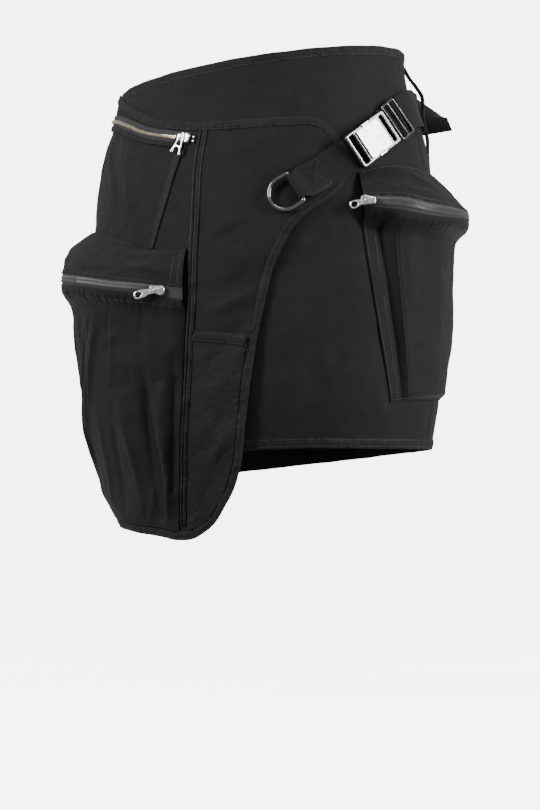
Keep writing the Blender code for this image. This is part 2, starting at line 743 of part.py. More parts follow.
def build_slider(name, finish, place, arch_turn, size=1.0):
    """A zip slider: a waisted body with an arch over it, as one solid. X runs along the zip."""
    body = (
        (-0.0066, -0.0028), (-0.0010, -0.0036), (0.0040, -0.0046), (0.0066, -0.0034),
        (0.0074, 0.0), (0.0066, 0.0034), (0.0040, 0.0046), (-0.0010, 0.0036), (-0.0066, 0.0028),
    )
    thick, leg, gap, bar = 0.0030, 0.0013, 0.0023, 0.0012
    reach = 0.0042
    bm = bmesh.new()
    low = [bm.verts.new((x * size, y * size, 0.0)) for x, y in body]
    high = [bm.verts.new((x * size, y * size, thick)) for x, y in body]
    bm.faces.new(list(reversed(low)))
    bm.faces.new(high)
    for i, vert in enumerate(low):
        j = (i + 1) % len(low)
        bm.faces.new((vert, low[j], high[j], high[i]))
    slider = add_mesh(name, bm, finish, place, soft_angle=30.0)
    base = thick - 0.0006
    profile = (
        (-reach - leg, base), (-reach - leg, thick + gap), (-reach, thick + gap + bar),
        (reach, thick + gap + bar), (reach + leg, thick + gap), (reach + leg, base),
        (reach, base), (reach, thick + gap), (-reach, thick + gap), (-reach, base),
    )
    arch = bmesh.new()
    near = [arch.verts.new((x, -0.0011, z)) for x, z in profile]
    far = [arch.verts.new((x, 0.0011, z)) for x, z in profile]
    arch.faces.new(near)
    arch.faces.new(list(reversed(far)))
    for i, vert in enumerate(near):
        j = (i + 1) % len(near)
        arch.faces.new((vert, near[j], far[j], far[i]))
    bmesh.ops.recalc_face_normals(arch, faces=arch.faces[:])
    mesh = bpy.data.meshes.new(name + "_arch")
    arch.to_mesh(mesh)
    arch.free()
    helper = bpy.data.objects.new(name + "_arch", mesh)
    bpy.data.collections["cutters"].objects.link(helper)
    helper.matrix_world = place @ Matrix.Rotation(math.radians(arch_turn), 4, "Z")
    helper.hide_render = True
    helper.display_type = "WIRE"
    union = slider.modifiers.new("arch", "BOOLEAN")
    union.operation = "UNION"
    union.object = helper
    return helper.matrix_world @ Matrix.Translation((0.0, 0.0, thick + 0.5 * gap))


def build_ring_pull(name, finish, hinge, length=0.0230):
    """A pull tab that runs along -X from its hinge, waisted, with a round hole at its free end."""
    wide, neck = 0.0040, 0.0027
    body = (
        (0.0008, -neck), (0.0008, neck), (-0.0085, neck), (-0.0130, wide), (-length, wide),
        (-length, -wide), (-0.0130, -wide), (-0.0085, -neck),
    )
    corners = (0.0004, 0.0004, 0.004, 0.003, 0.0036, 0.0036, 0.003, 0.004)
    outline = outline_points(body, corners, 2)
    slot = box_outline(-0.0062, -0.0008, -0.0016, 0.0016)
    middle = -length + 0.0046
    hole = [
        (middle + 0.0034 * math.cos(math.radians(turn)), 0.0026 * math.sin(math.radians(turn)))
        for turn in range(0, 360, 30)
    ]
    plate(name, (outline, slot, hole), 0.0013, finish, hinge, edge=0.0002, height=-0.00065)


def build_wire_pull(name, finish, hinge):
    """The waist zip's forked pull: two legs from the slider, a curved bar across, and two feet."""
    legs = (
        (0.0008, -0.0026), (0.0008, 0.0026), (-0.0150, 0.0056), (-0.0158, 0.0040),
        (-0.0120, 0.0030), (-0.0108, 0.0010), (-0.0108, -0.0010), (-0.0120, -0.0030),
        (-0.0158, -0.0040), (-0.0150, -0.0056),
    )
    window = ((-0.0008, -0.0014), (-0.0008, 0.0014), (-0.0086, 0.0028), (-0.0086, -0.0028))
    outline = outline_points(legs, 0.0003, 2)
    plate(name, (outline, window), 0.0014, finish, hinge, edge=0.0003, height=-0.0007)


def build_waist_slider(line):
    at = line.share_near(WAIST_SLIDER_AT)
    place = frame_of(along_line(line, wrap_outer), at, 0.0018)
    hinge = build_slider("waist_zip_slider", silver(), place, 76.0)
    build_wire_pull("waist_zip_pull", silver(), hinge)


def build_pull_tape():
    line = Line.through(PULL_TAPE)
    on_wrap = along_line(line, wrap_outer)

    def place(share, across, lift):
        return on_wrap(share, across * mix(1.0, 0.75, share), lift)

    section = ((-0.0048, LAY_GAP), (-0.0048, 0.0014), (0.0048, 0.0014), (0.0048, LAY_GAP))
    tape = material("brown_black_tape", (0.016, 0.012, 0.012), 0.7)
    sweep("pull_tape", place, section, 16, tape)


# Pockets
def pocket_place(top, low, out, phi_from, phi_to, backing):
    """place(share, across, lift) on a pocket's zip band, across running 0 to 1 from its top edge."""

    def place(share, across, lift):
        phi = mix(phi_from, phi_to, share)
        drop = mix(top(phi), low(phi), across)
        return form_point(phi, drop, backing(phi, drop) + out(phi) + lift)

    return place


def build_coil_zip(name, place, count, finish):
    """Tape with a coil raised along its middle."""
    section = (
        (0.04, 0.0), (0.04, 0.0011), (0.33, 0.0012), (0.38, 0.0026), (0.62, 0.0026),
        (0.67, 0.0012), (0.96, 0.0011), (0.96, 0.0),
    )
    sweep(name, place, section, count, finish)


def front_backing(phi, drop):
    return wrap_outer(phi, drop) + LAY_GAP


def front_bag_out(u, v, phi, drop):
    """How far the front bag stands off the wrap."""
    full = FRONT_BAG_OUT(drop) * FRONT_BAG_PROFILE(u)
    body = full + relief(BAG_CREASES, phi, drop) * ease(u / 0.15) * ease((1.0 - u) / 0.05)
    return max(0.0, mix(FRONT_ZIP_OUT(phi), body, ease(v / 0.09)))


def front_bag_edges():
    _, seam, _ = wrap_lines()
    clear = seam.offset(SEAM_GAP, 320)
    steps = [mix(FRONT_LEFT, FRONT_RIGHT - 0.6, i / 24) for i in range(25)]
    top = Line([(girth(phi), FRONT_ZIP_LOW(phi) + 0.0006) for phi in steps])
    beside_welt = welt_line().offset(WELT_HALF_WIDTH + SEAM_GAP)
    right = beside_welt.part(beside_welt.share_near(Mark(-0.6, 0.2260)), 0.965)
    low_right = clear.share_near(Mark(-8.6, 0.4440))
    low_left = clear.share_near(FRONT_BAG_LEFT[-1])
    bottom = clear.part(low_left, low_right)
    left = Line.through(FRONT_BAG_LEFT)
    left = Line(np.concatenate([left.points[:-4], [bottom.at(0)]]))
    right = Line(np.concatenate([[top.at(1)], right.points[2:], [bottom.at(1)]]))
    top = Line(np.concatenate([[left.at(0)], top.points[1:]]))
    return top, bottom, left, right


def build_front_pocket():
    def hood(u, v):
        phi = mix(FRONT_LEFT, FRONT_RIGHT, u)
        v = v**1.5
        drop = mix(FRONT_HOOD_TOP(phi), FRONT_ZIP_TOP(phi) - 0.0003, v)
        bulge = 1.0 - (1.0 - v) ** 2.8
        return form_point(phi, drop, front_backing(phi, drop) + FRONT_ZIP_OUT(phi) * bulge)

    sheet("front_pocket_hood", hood, 22, 7)
    edges = front_bag_edges()

    def bag(u, v):
        phi, drop = coons(*edges, u, v)
        out = front_bag_out(u, v, phi, drop)
        return form_point(phi, drop, front_backing(phi, drop) + out)

    sheet("front_pocket_bag", bag, 24, 18)
    place = pocket_place(
        FRONT_ZIP_TOP, FRONT_ZIP_LOW, FRONT_ZIP_OUT, FRONT_LEFT, FRONT_RIGHT, front_backing
    )
    build_coil_zip("front_pocket_zip", place, 24, zip_tape_cloth())

    def middle(share, across, lift):
        return place(share, 0.5 + across / 0.012, lift)

    seat = frame_of(middle, 0.918, 0.0034)
    hinge = build_slider("front_pocket_slider", silver(), seat, 26.0)
    build_ring_pull("front_pocket_pull", silver(), hinge)


def hip_backing(phi, drop):
    return body_outer(phi, drop) + LAY_GAP


def hip_profile(w):
    """The hip bag's section from one edge to the other: flange, dark recess, then the proud front."""
    w = min(w, 1.0 - w)
    ats = [row[0] for row in HIP_BAG_PROFILE]
    return float(np.interp(w, ats, [row[1] for row in HIP_BAG_PROFILE]))


def hip_columns():
    half = [row[0] for row in HIP_BAG_PROFILE]
    return half + [1.0 - at for at in reversed(half[:-1])]


def hip_bag_point(w, v):
    middle_drop = mix(0.165, HIP_BAG_BOTTOM, v)
    side = HIP_BAG_SIDE(middle_drop)
    phi = mix(side, 2.0 * HIP_MIDDLE - side, w)
    drop = mix(HIP_ZIP_LOW(phi) + 0.0006, HIP_BAG_BOTTOM, v)
    body = HIP_BAG_OUT(drop) * hip_profile(w) * (1.0 - ease((v - 0.965) / 0.035))
    return form_point(phi, drop, hip_backing(phi, drop) + mix(HIP_ZIP_OUT(phi), body, ease(v / 0.12)))


def build_hip_pocket():
    def hood(u, v):
        phi = mix(HIP_LEFT, HIP_RIGHT, u)
        drop = mix(HIP_HOOD_TOP(phi), HIP_ZIP_TOP(phi) - 0.0003, v)
        return form_point(phi, drop, hip_backing(phi, drop) + HIP_ZIP_OUT(phi) * v**0.9)

    sheet("hip_pocket_hood", hood, 20, 6)
    columns = hip_columns()

    def bag(u, v):
        place = u * (len(columns) - 1)
        w = float(np.interp(place, range(len(columns)), columns))
        return hip_bag_point(w, min(1.0, v * 1.04) if v < 0.96 else 1.0 - (1.0 - v) * 0.04)

    sheet("hip_pocket_bag", bag, len(columns) - 1, 12)
    place = pocket_place(HIP_ZIP_TOP, HIP_ZIP_LOW, HIP_ZIP_OUT, HIP_LEFT, HIP_RIGHT, hip_backing)
    build_coil_zip("hip_pocket_zip", place, 22, zip_tape_cloth())

    def middle(share, across, lift):
        return place(share, 0.5 + across / 0.012, lift)

    seat = frame_of(middle, 0.014, 0.0034, turn=180.0)
    hinge = build_slider("hip_pocket_slider", silver(), seat, 202.0)
    build_ring_pull("hip_pocket_pull", silver(), hinge, length=0.0185)


# Strap
def strap_bed(phi, drop):
    """What the strap lies on: the wrap's tip, then the under layer."""
    on_wrap = wrap_inner(phi, drop) + BAND_RISE - 0.0004
    return STRAP_GAP + mix(on_wrap, body_outer(phi, drop), ease((phi - 57.0) / 9.0))


def strap_place(line):
    """place(x, across, lift) with x in metres along the strap from the ring's bar."""
    on_bed = along_line(line, strap_bed)

    def place(x, across, lift):
        return on_bed(x / line.length, across, lift)

    return place


def build_ribbon(name, path, width, thick, place, finish):
    """A flat strap: path is its middle line as (x, lift) in the strap's own place."""
    points = [Vector(point) for point in path]
    bm = bmesh.new()
    loops = []
    for i, point in enumerate(points):
        run = (points[min(i + 1, len(points) - 1)] - points[max(i - 1, 0)]).normalized()
        side = Vector((-run.y, run.x)) * 0.5 * thick
        ring = [(point + side, share) for share in (-0.5, 0.0, 0.5)]
        ring += [(point - side, share) for share in (0.5, 0.0, -0.5)]
        loops.append([bm.verts.new(place(spot.x, share * width, spot.y)) for spot, share in ring])
    for near, far in zip(loops, loops[1:]):
        for i in range(6):
            j = (i + 1) % 6
            bm.faces.new((near[i], near[j], far[j], far[i]))
    bm.faces.new(loops[0])
    bm.faces.new(list(reversed(loops[-1])))
    return add_mesh(name, bm, finish, soft_angle=40.0)


def build_ring_webbing(place):
    """Webbing folded round the ring's bar, both ends under the buckle."""
    low = 0.5 * WEBBING
    bar_lift = WEBBING + 0.0003 + 0.5 * RING_WIRE
    round_bar = 0.5 * RING_WIRE + 0.0003 + low
    end = BUCKLE_AT - 0.5 * BUCKLE_LENGTH + 0.0030
    upper = WEBBING + 0.0003 + low
    seat = frame_of(place, 0.0, 0.0)

    def loop_place(x, across, lift):
        across *= mix(RING_NARROWING, 1.0, ease((x - 0.002) / 0.008))
        flat = seat @ Vector((x, -across, lift))
        lift += STRAP_RISE * ease((x - 0.040) / 0.018)
        return flat.lerp(place(x, across, lift), ease((x - 0.010) / 0.020))

    path = [(mix(end, 0.016, i / 7), upper) for i in range(8)]
    path += [(0.0110, upper + 0.0009), (0.0065, upper + 0.0026), (0.0030, bar_lift + round_bar - 0.0005)]
    for step in range(9):
        turn = math.radians(90.0 + 180.0 * step / 8)
        path.append((round_bar * math.cos(turn), bar_lift + round_bar * math.sin(turn)))
    path += [(mix(0.004, end, i / 8), low) for i in range(9)]
    build_ribbon("ring_webbing", path, RING_STRAP_WIDTH, WEBBING, loop_place, webbing_cloth())
    return seat @ Matrix.Translation((0.0, 0.0, bar_lift))


def build_d_ring(bar):
    """A D of round wire, hinged on its straight bar and lying on the wrap."""
    frame = bar @ Matrix.Rotation(math.radians(-7.5), 4, "Y")
    radius = RING_HALF_HEIGHT
    points = [(0.0, y * radius, 0.0) for y in (-0.91, -0.5, 0.0, 0.5, 0.91)]
    points += [(-0.0006, radius * 0.985, 0.0), (-0.0022, radius, 0.0), (-0.0070, radius, 0.0)]
    for step in range(15):
        turn = math.radians(90.0 + 180.0 * step / 14)
        points.append((-RING_LEG + radius * math.cos(turn), radius * math.sin(turn), 0.0))
    points += [(-0.0070, -radius, 0.0), (-0.0022, -radius, 0.0), (-0.0006, -radius * 0.985, 0.0)]
    wire("d_ring", points, 0.5 * RING_WIRE, dark_metal(), frame)


def build_buckle(place):
    frame = frame_of(place, BUCKLE_AT, 0.0036)
    half, tall = 0.5 * BUCKLE_LENGTH, 0.5 * BUCKLE_WIDTH
    outline = box_outline(-half, half, -tall, tall, 0.0030)
    slot = box_outline(-half + 0.0035, -0.5 * PLATE_LENGTH - 0.0025, -tall + 0.003, tall - 0.003, 0.0010)
    rear = box_outline(0.5 * PLATE_LENGTH + 0.0045, half - 0.0045, -tall + 0.004, tall - 0.004, 0.0010)
    plate("buckle_frame", (outline, slot, rear), BUCKLE_THICK, dark_metal(), frame, edge=0.0010)
    silver_part = box_outline(
        -0.5 * PLATE_LENGTH, 0.5 * PLATE_LENGTH, -0.5 * PLATE_WIDTH, 0.5 * PLATE_WIDTH, 0.0006, 2
    )
    rise = BUCKLE_THICK + 0.0003
    plate("buckle_plate", (silver_part,), 0.0014, silver(), frame, edge=0.0003, height=rise)


def build_slide(place):
    frame = frame_of(place, SLIDE_AT, 0.0040) @ Matrix.Rotation(math.radians(-6.0), 4, "Y")
    half, tall = 0.5 * SLIDE_LENGTH, 0.5 * SLIDE_WIDTH
    outline = box_outline(-half, half, -tall, tall, 0.0028)
    rim, bar = 0.0024, 0.0012
    left = box_outline(-half + rim, -bar, -tall + rim, tall - rim, 0.0010)
    right = box_outline(bar, half - rim, -tall + rim, tall - rim, 0.0010)
    plate("strap_slide", (outline, left, right), 0.0024, dark_metal(), frame, edge=0.0006)


def build_side_webbing(line, place):
    low = 0.5 * WEBBING
    start, end = BUCKLE_AT + 0.5 * BUCKLE_LENGTH - 0.003, line.length - 0.002
    path = []
    for i in range(25):
        x = mix(start, end, i / 24)
        path.append((x, low + SLIDE_RISE * ease((SLIDE_AT + 0.018 - x) / 0.022)))
    build_ribbon("side_webbing", path, SIDE_STRAP_WIDTH, WEBBING, place, webbing_cloth())


def build_strap_tail(line, place):
    """The strap's free end: on the side webbing, under the belt loop, then out and twisted."""
    start = SLIDE_AT + 0.5 * SLIDE_LENGTH + 0.004
    leave = line.share_near(Mark(108.0, 0.055)) * line.length
    lift = WEBBING + 2.0 * LAY_GAP
    half = 0.5 * SIDE_STRAP_WIDTH
    rows = [[place(mix(start, leave, i / 9), side * half, lift) for side in (-1.0, 0.0, 1.0)]
            for i in range(10)]
    for phi, out_top, out_fold, out_low in TAIL_IN_LOOP:
        row = zip((0.0375, 0.0570, 0.0760), (out_top, out_fold, out_low))
        rows.append([form_point(phi, drop, body_outer(phi, drop) + out) for drop, out in row])
    last = rows[-1]
    for step in range(1, 6):
        share = step / 5
        rows.append([
            near.lerp(SLOPE_WAY * out + AWAY * away + Vector((0.0, 0.0, z)), share)
            for near, (out, away, z) in zip(last, TAIL_END)
        ])
    bm = bmesh.new()
    grid = [[bm.verts.new(point) for point in row] for row in rows]
    for near, far in zip(grid, grid[1:]):
        for i in range(2):
            bm.faces.new((near[i], near[i + 1], far[i + 1], far[i]))
    mesh = bpy.data.meshes.new("strap_tail")
    bm.to_mesh(mesh)
    bm.free()
    made = add_object("strap_tail", mesh, webbing_cloth())
    shell = made.modifiers.new("wall", "SOLIDIFY")
    shell.thickness = WEBBING
    shell.offset = 1.0


def build_belt_loop():
    def place(share, across, lift):
        drop = mix(LOOP_OUT.at[0] + 0.0005, LOOP_OUT.at[-1], share)
        phi = LOOP_AT + across / 0.0023
        return form_point(phi, drop, body_outer(phi, drop) + LOOP_OUT(drop) + lift)

    half = 0.5 * LOOP_WIDTH
    section = ((-half, 0.0), (-half, 0.0016), (half, 0.0016), (half, 0.0))
    sweep("belt_loop", place, section, 22, twill())


def build_strap():
    line = Line.through(STRAP)
    place = strap_place(line)
    build_d_ring(build_ring_webbing(place))
    build_buckle(place)
    build_slide(place)
    build_side_webbing(line, place)
    build_strap_tail(line, place)
    build_belt_loop()


def main():
    for leftover in list(bpy.data.objects):
        bpy.data.objects.remove(leftover, do_unlink=True)
    for name in ("wrap_mini_skirt", "cutters"):
        bpy.context.scene.collection.children.link(bpy.data.collections.new(name))
    build_body()
    build_body_band("waist_binding", waist_edge, WAIST_BAND_WIDTH, -0.0007, 0.0015)
    build_body_band("body_hem", body_hem_edge, -HEM_BAND_WIDTH, -0.0005, 0.0015)
    build_wrap_panel()
    build_wrap_bands()
    build_welt()
    build_patch()
    build_waist_slider(build_waist_zip())
    build_pull_tape()
    build_front_pocket()
    build_hip_pocket()
    build_strap()
    bpy.data.collections["cutters"].hide_render = True


main()
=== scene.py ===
"""Look of a black wrap mini skirt with cargo pockets and a buckled side strap, over its frame.

Metres, +Z up, the wearer faces -Y and the wearer's left is +X. A place on the cloth is phi,
degrees round from the centre front towards the wearer's left, and drop, metres below the tilted
waist plane. Lift and out are metres off the cloth.
"""

from __future__ import annotations

import json
import logging
import math
from dataclasses import dataclass
from enum import Enum
from typing import Callable, Sequence

import bpy
import numpy as np
from mathutils import Matrix, Vector

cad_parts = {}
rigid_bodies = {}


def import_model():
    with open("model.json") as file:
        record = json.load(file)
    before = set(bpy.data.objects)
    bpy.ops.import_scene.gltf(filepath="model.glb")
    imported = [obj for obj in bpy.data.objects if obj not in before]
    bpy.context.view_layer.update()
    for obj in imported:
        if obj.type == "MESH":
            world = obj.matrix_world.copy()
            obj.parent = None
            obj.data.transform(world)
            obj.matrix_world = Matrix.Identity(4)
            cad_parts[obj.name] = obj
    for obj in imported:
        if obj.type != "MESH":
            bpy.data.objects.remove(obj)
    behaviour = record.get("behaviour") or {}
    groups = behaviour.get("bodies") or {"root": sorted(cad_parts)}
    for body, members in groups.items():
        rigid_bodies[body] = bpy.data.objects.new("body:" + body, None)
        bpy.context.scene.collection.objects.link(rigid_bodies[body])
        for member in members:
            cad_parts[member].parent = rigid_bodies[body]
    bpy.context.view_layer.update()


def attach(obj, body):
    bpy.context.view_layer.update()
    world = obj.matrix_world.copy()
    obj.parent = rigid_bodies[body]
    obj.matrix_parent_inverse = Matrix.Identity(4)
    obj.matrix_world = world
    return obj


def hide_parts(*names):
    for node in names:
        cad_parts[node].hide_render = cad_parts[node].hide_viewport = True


LOG = logging.getLogger("wrap_mini_skirt")
Array = np.ndarray
Place = Callable[[Array, Array, Array], Array]
Pair = tuple[float, float]

# Lifts off the form: under layer's inside, a ply, a thin shell, between plies, a sewn-on piece
BODY_GAP, WALL, CLOTH, PLY_GAP, LAY = 0.0014, 0.0012, 0.0008, 0.0007, 0.0004
# The wrap's binding, the waist band and the hem band
BAND_WIDTH, BAND_RISE = 0.0082, 0.0022
WAIST_BAND = 0.0095
HEM_BAND = 0.0100
RIGHT_SEAM, LEFT_SEAM = -92.0, 95.0
WAIST_SLOPE = 0.126
SLOPE_WAY = np.array((math.cos(math.radians(30.0)), math.sin(math.radians(30.0)), 0.0))
AWAY = np.array((-SLOPE_WAY[1], SLOPE_WAY[0], 0.0))


class Smooth:
    """A cubic curve through (at, value) rows, for a number or an array."""

    def __init__(self, *rows: Pair) -> None:
        table = np.array(rows, float)
        self.at, self.value = table[:, 0], table[:, 1]
        self.slope = np.gradient(self.value, self.at)

    def __call__(self, at: Array | float) -> Array:
        at = np.clip(at, self.at[0], self.at[-1])
        i = np.clip(np.searchsorted(self.at, at, side="right") - 1, 0, len(self.at) - 2)
        span = self.at[i + 1] - self.at[i]
        t = (at - self.at[i]) / span
        ends = (2 * t**3 - 3 * t**2 + 1) * self.value[i] + (3 * t**2 - 2 * t**3) * self.value[i + 1]
        bends = (t**3 - 2 * t**2 + t) * self.slope[i] + (t**3 - t**2) * self.slope[i + 1]
        return ends + span * bends


def ease(x: Array | float) -> Array:
    """0 below 0, 1 above 1 and a soft step between."""
    x = np.clip(x, 0.0, 1.0)
    return x * x * (3.0 - 2.0 * x)


def mix(a, b, share):
    """The blend of a and b at a share."""
    return a + (b - a) * share


HALF_WIDTH = Smooth(
    (0.000, 0.1468), (0.030, 0.1515), (0.080, 0.1650), (0.120, 0.1720), (0.200, 0.1790),
    (0.280, 0.1800), (0.345, 0.1758), (0.385, 0.1685), (0.480, 0.1550),
)
HALF_DEPTH = Smooth(
    (0.000, 0.1101), (0.030, 0.1140), (0.080, 0.1255), (0.120, 0.1325), (0.200, 0.1396),
    (0.280, 0.1404), (0.345, 0.1370), (0.385, 0.1314), (0.480, 0.1210),
)
SHIFT = Smooth(
    (0.000, 0.0000), (0.030, -0.0020), (0.080, 0.0010), (0.120, 0.0025), (0.200, 0.0020),
    (0.280, 0.0035), (0.345, 0.0055), (0.385, 0.0067), (0.480, 0.0067),
)


def form_point(phi: Array, drop: Array, out: Array) -> Array:
    """Points off the worn form.

    Args:
        phi: Degrees round.
        drop: Metres below the waist plane.
        out: Metres off the form.

    Returns:
        An array of points, one for each place.
    """
    phi, drop, out = np.broadcast_arrays(phi, drop, out)
    side, front = np.sin(np.radians(phi)), np.cos(np.radians(phi))
    wide, deep, shift = HALF_WIDTH(drop), HALF_DEPTH(drop), SHIFT(drop)
    rise = HALF_WIDTH(0.0) * side * SLOPE_WAY[0] - HALF_DEPTH(0.0) * front * SLOPE_WAY[1]
    reach = np.hypot(side / wide, front / deep)
    x = wide * side + SLOPE_WAY[0] * shift + out * side / wide / reach
    y = -deep * front + SLOPE_WAY[1] * shift - out * front / deep / reach
    return np.stack((x, y, WAIST_SLOPE * rise - drop), axis=-1)


GIRTH_PHI = np.arange(-185.0, 285.5, 0.5)
GIRTH_ALONG = np.cumsum(
    np.hypot(0.172 * np.cos(np.radians(GIRTH_PHI)), 0.133 * np.sin(np.radians(GIRTH_PHI)))
) * math.radians(0.5)
GIRTH_ALONG -= np.interp(0.0, GIRTH_PHI, GIRTH_ALONG)


def girth(phi: Array | float) -> Array:
    """Metres round from the centre front at an angle."""
    return np.interp(phi, GIRTH_PHI, GIRTH_ALONG)


def phi_at(along: Array | float) -> Array:
    """The angle at metres round from the centre front."""
    return np.interp(along, GIRTH_ALONG, GIRTH_PHI)


class Line:
    """A smooth line on the flat cloth, walked from 0 to 1 by its length."""

    def __init__(self, points: Array) -> None:
        self.points = np.asarray(points, float)
        steps = np.hypot(*np.diff(self.points, axis=0).T)
        self.along = np.concatenate(([0.0], np.cumsum(steps)))
        self.length = float(self.along[-1])

    @classmethod
    def through(cls, marks: Sequence[Pair], per_span: int = 16) -> Line:
        """A Catmull-Rom line through (phi, drop) places."""
        flat = [np.array((girth(phi), drop)) for phi, drop in marks]
        flat = [2 * flat[0] - flat[1], *flat, 2 * flat[-1] - flat[-2]]
        t = np.arange(per_span)[:, None] / per_span
        spans = []
        for a, b, c, d in zip(flat, flat[1:], flat[2:], flat[3:]):
            bend = (2 * a - 5 * b + 4 * c - d) * t**2 + (3 * b - a - 3 * c + d) * t**3
            spans.append(b + 0.5 * ((c - a) * t + bend))
        return cls(np.concatenate([*spans, flat[-2][None]]))

    def at(self, share: Array | float) -> Array:
        """Points (girth, drop) at shares of the length."""
        along = np.asarray(share) * self.length
        return np.stack([np.interp(along, self.along, self.points[:, i]) for i in (0, 1)], -1)

    def beside(self, share: Array | float, across: Array | float) -> Array:
        """Points at a distance to the right of someone walking the line."""
        share, across = np.broadcast_arrays(np.asarray(share, float), across)
        reach, inside = 0.002 / self.length, np.clip(share, 0.0, 1.0)
        run = self.at(np.minimum(inside + reach, 1.0)) - self.at(np.maximum(inside - reach, 0.0))
        run = run / np.linalg.norm(run, axis=-1, keepdims=True)
        past = (share - inside)[..., None] * self.length
        return self.at(inside) + run * past + across[..., None] * np.stack((-run[..., 1], run[..., 0]), -1)

    def offset(self, across: float, count: int = 400) -> Line:
        """The line moved across by a distance."""
        return Line(self.beside(np.linspace(0.0, 1.0, count), across))

    def part(self, start: float, end: float, count: int = 240) -> Line:
        """The stretch between two shares."""
        return Line(self.at(np.linspace(start, end, count)))

    def share_near(self, phi: float, drop: float) -> float:
        """The share of the length nearest to a place."""
        gaps = np.hypot(*(self.points - (girth(phi), drop)).T)
        return float(self.along[int(np.argmin(gaps))]) / self.length


def joined(*lines: Line) -> Line:
    """One line through several in turn."""
    return Line(np.concatenate([line.points for line in lines]))


def coons(top: Line, bottom: Line, left: Line, right: Line, u: Array, v: Array) -> tuple[Array, Array]:
    """Places inside four edges that run left to right and top to bottom.

    Args:
        top, bottom, left, right: The edges.
        u, v: Shares across and down.

    Returns:
        Arrays of phi and drop.
    """
    uu, vv = u[..., None], v[..., None]
    corners = (1 - uu) * (1 - vv) * top.at(0) + uu * (1 - vv) * top.at(1)
    corners = corners + (1 - uu) * vv * bottom.at(0) + uu * vv * bottom.at(1)
    flat = (1 - vv) * top.at(u) + vv * bottom.at(u) + (1 - uu) * left.at(v) + uu * right.at(v) - corners
    return phi_at(flat[..., 0]), flat[..., 1]


@dataclass(frozen=True)
class Fold:
    """One soft fold from place to place. Height is above 0 for a ridge and below for a trough.

    Width is its half width, bow bends its middle sideways and lean steepens one flank.
    """

    phi_a: float
    drop_a: float
    phi_b: float
    drop_b: float
    height: float
    width: float
    bow: float = 0.0
    lean: float = 0.0

    def rise(self, phi: Array, drop: Array) -> Array:
        """Its height at places on the cloth."""
        ax, ay = float(girth(self.phi_a)), self.drop_a
        run = np.array((float(girth(self.phi_b)) - ax, self.drop_b - ay))
        length = float(np.hypot(*run))
        dx, dy = girth(phi) - ax, drop - ay
        t = (dx * run[0] + dy * run[1]) / length**2
        inside = np.clip(t, 0.0, 1.0)
        aside = (run[0] * dy - run[1] * dx) / length - self.bow * 4.0 * inside * (1.0 - inside)
        width = self.width * (1.0 + self.lean * np.tanh(aside / self.width))
        fade = np.where((t > 0.0) & (t < 1.0), 1.0 - (2.0 * inside - 1.0) ** 4, 0.0)
        return self.height * fade * np.exp(-((aside / width) ** 2))


def relief(folds: Sequence[Fold], phi: Array, drop: Array) -> Array:
    """The height of several folds together."""
    total = np.zeros(np.broadcast(phi, drop).shape)
    for fold in folds:
        total = total + fold.rise(phi, drop)
    return total


class Ripple:
    """Uneven small waves of cloth between two wavelengths, from -1 to 1 or so."""

    def __init__(self, seed: int, shortest: float, longest: float, waves: int = 14) -> None:
        draw = np.random.default_rng(seed)
        turns = draw.uniform(0.0, math.pi, waves)
        numbers = 2.0 * math.pi / draw.uniform(shortest, longest, waves)
        self.kx, self.ky = numbers * np.cos(turns), numbers * np.sin(turns)
        self.shift = draw.uniform(0.0, 2.0 * math.pi, waves)
        self.scale = 1.3 / math.sqrt(waves)

    def __call__(self, x: Array, y: Array | float = 0.0) -> Array:
        x, y = np.broadcast_arrays(np.asarray(x, float), y)
        total = np.zeros(x.shape)
        for kx, ky, shift in zip(self.kx, self.ky, self.shift):
            total += np.sin(kx * x + ky * y + shift)
        return total * self.scale


BROAD = Ripple(3, 0.045, 0.110)
MIDDLING = Ripple(5, 0.014, 0.034, 18)
FINE = Ripple(8, 0.0045, 0.0095, 22)
PUCKER = Ripple(12, 0.0040, 0.0085, 9)


def wander(phi: Array, drop: Array, broad: float, middling: float, fine: float = 0.00005) -> Array:
    """Small unevenness of worn cloth, as heights of three sizes of wave."""
    x = girth(phi)
    return broad * BROAD(x, drop) + middling * MIDDLING(x, drop) + fine * FINE(x, drop)


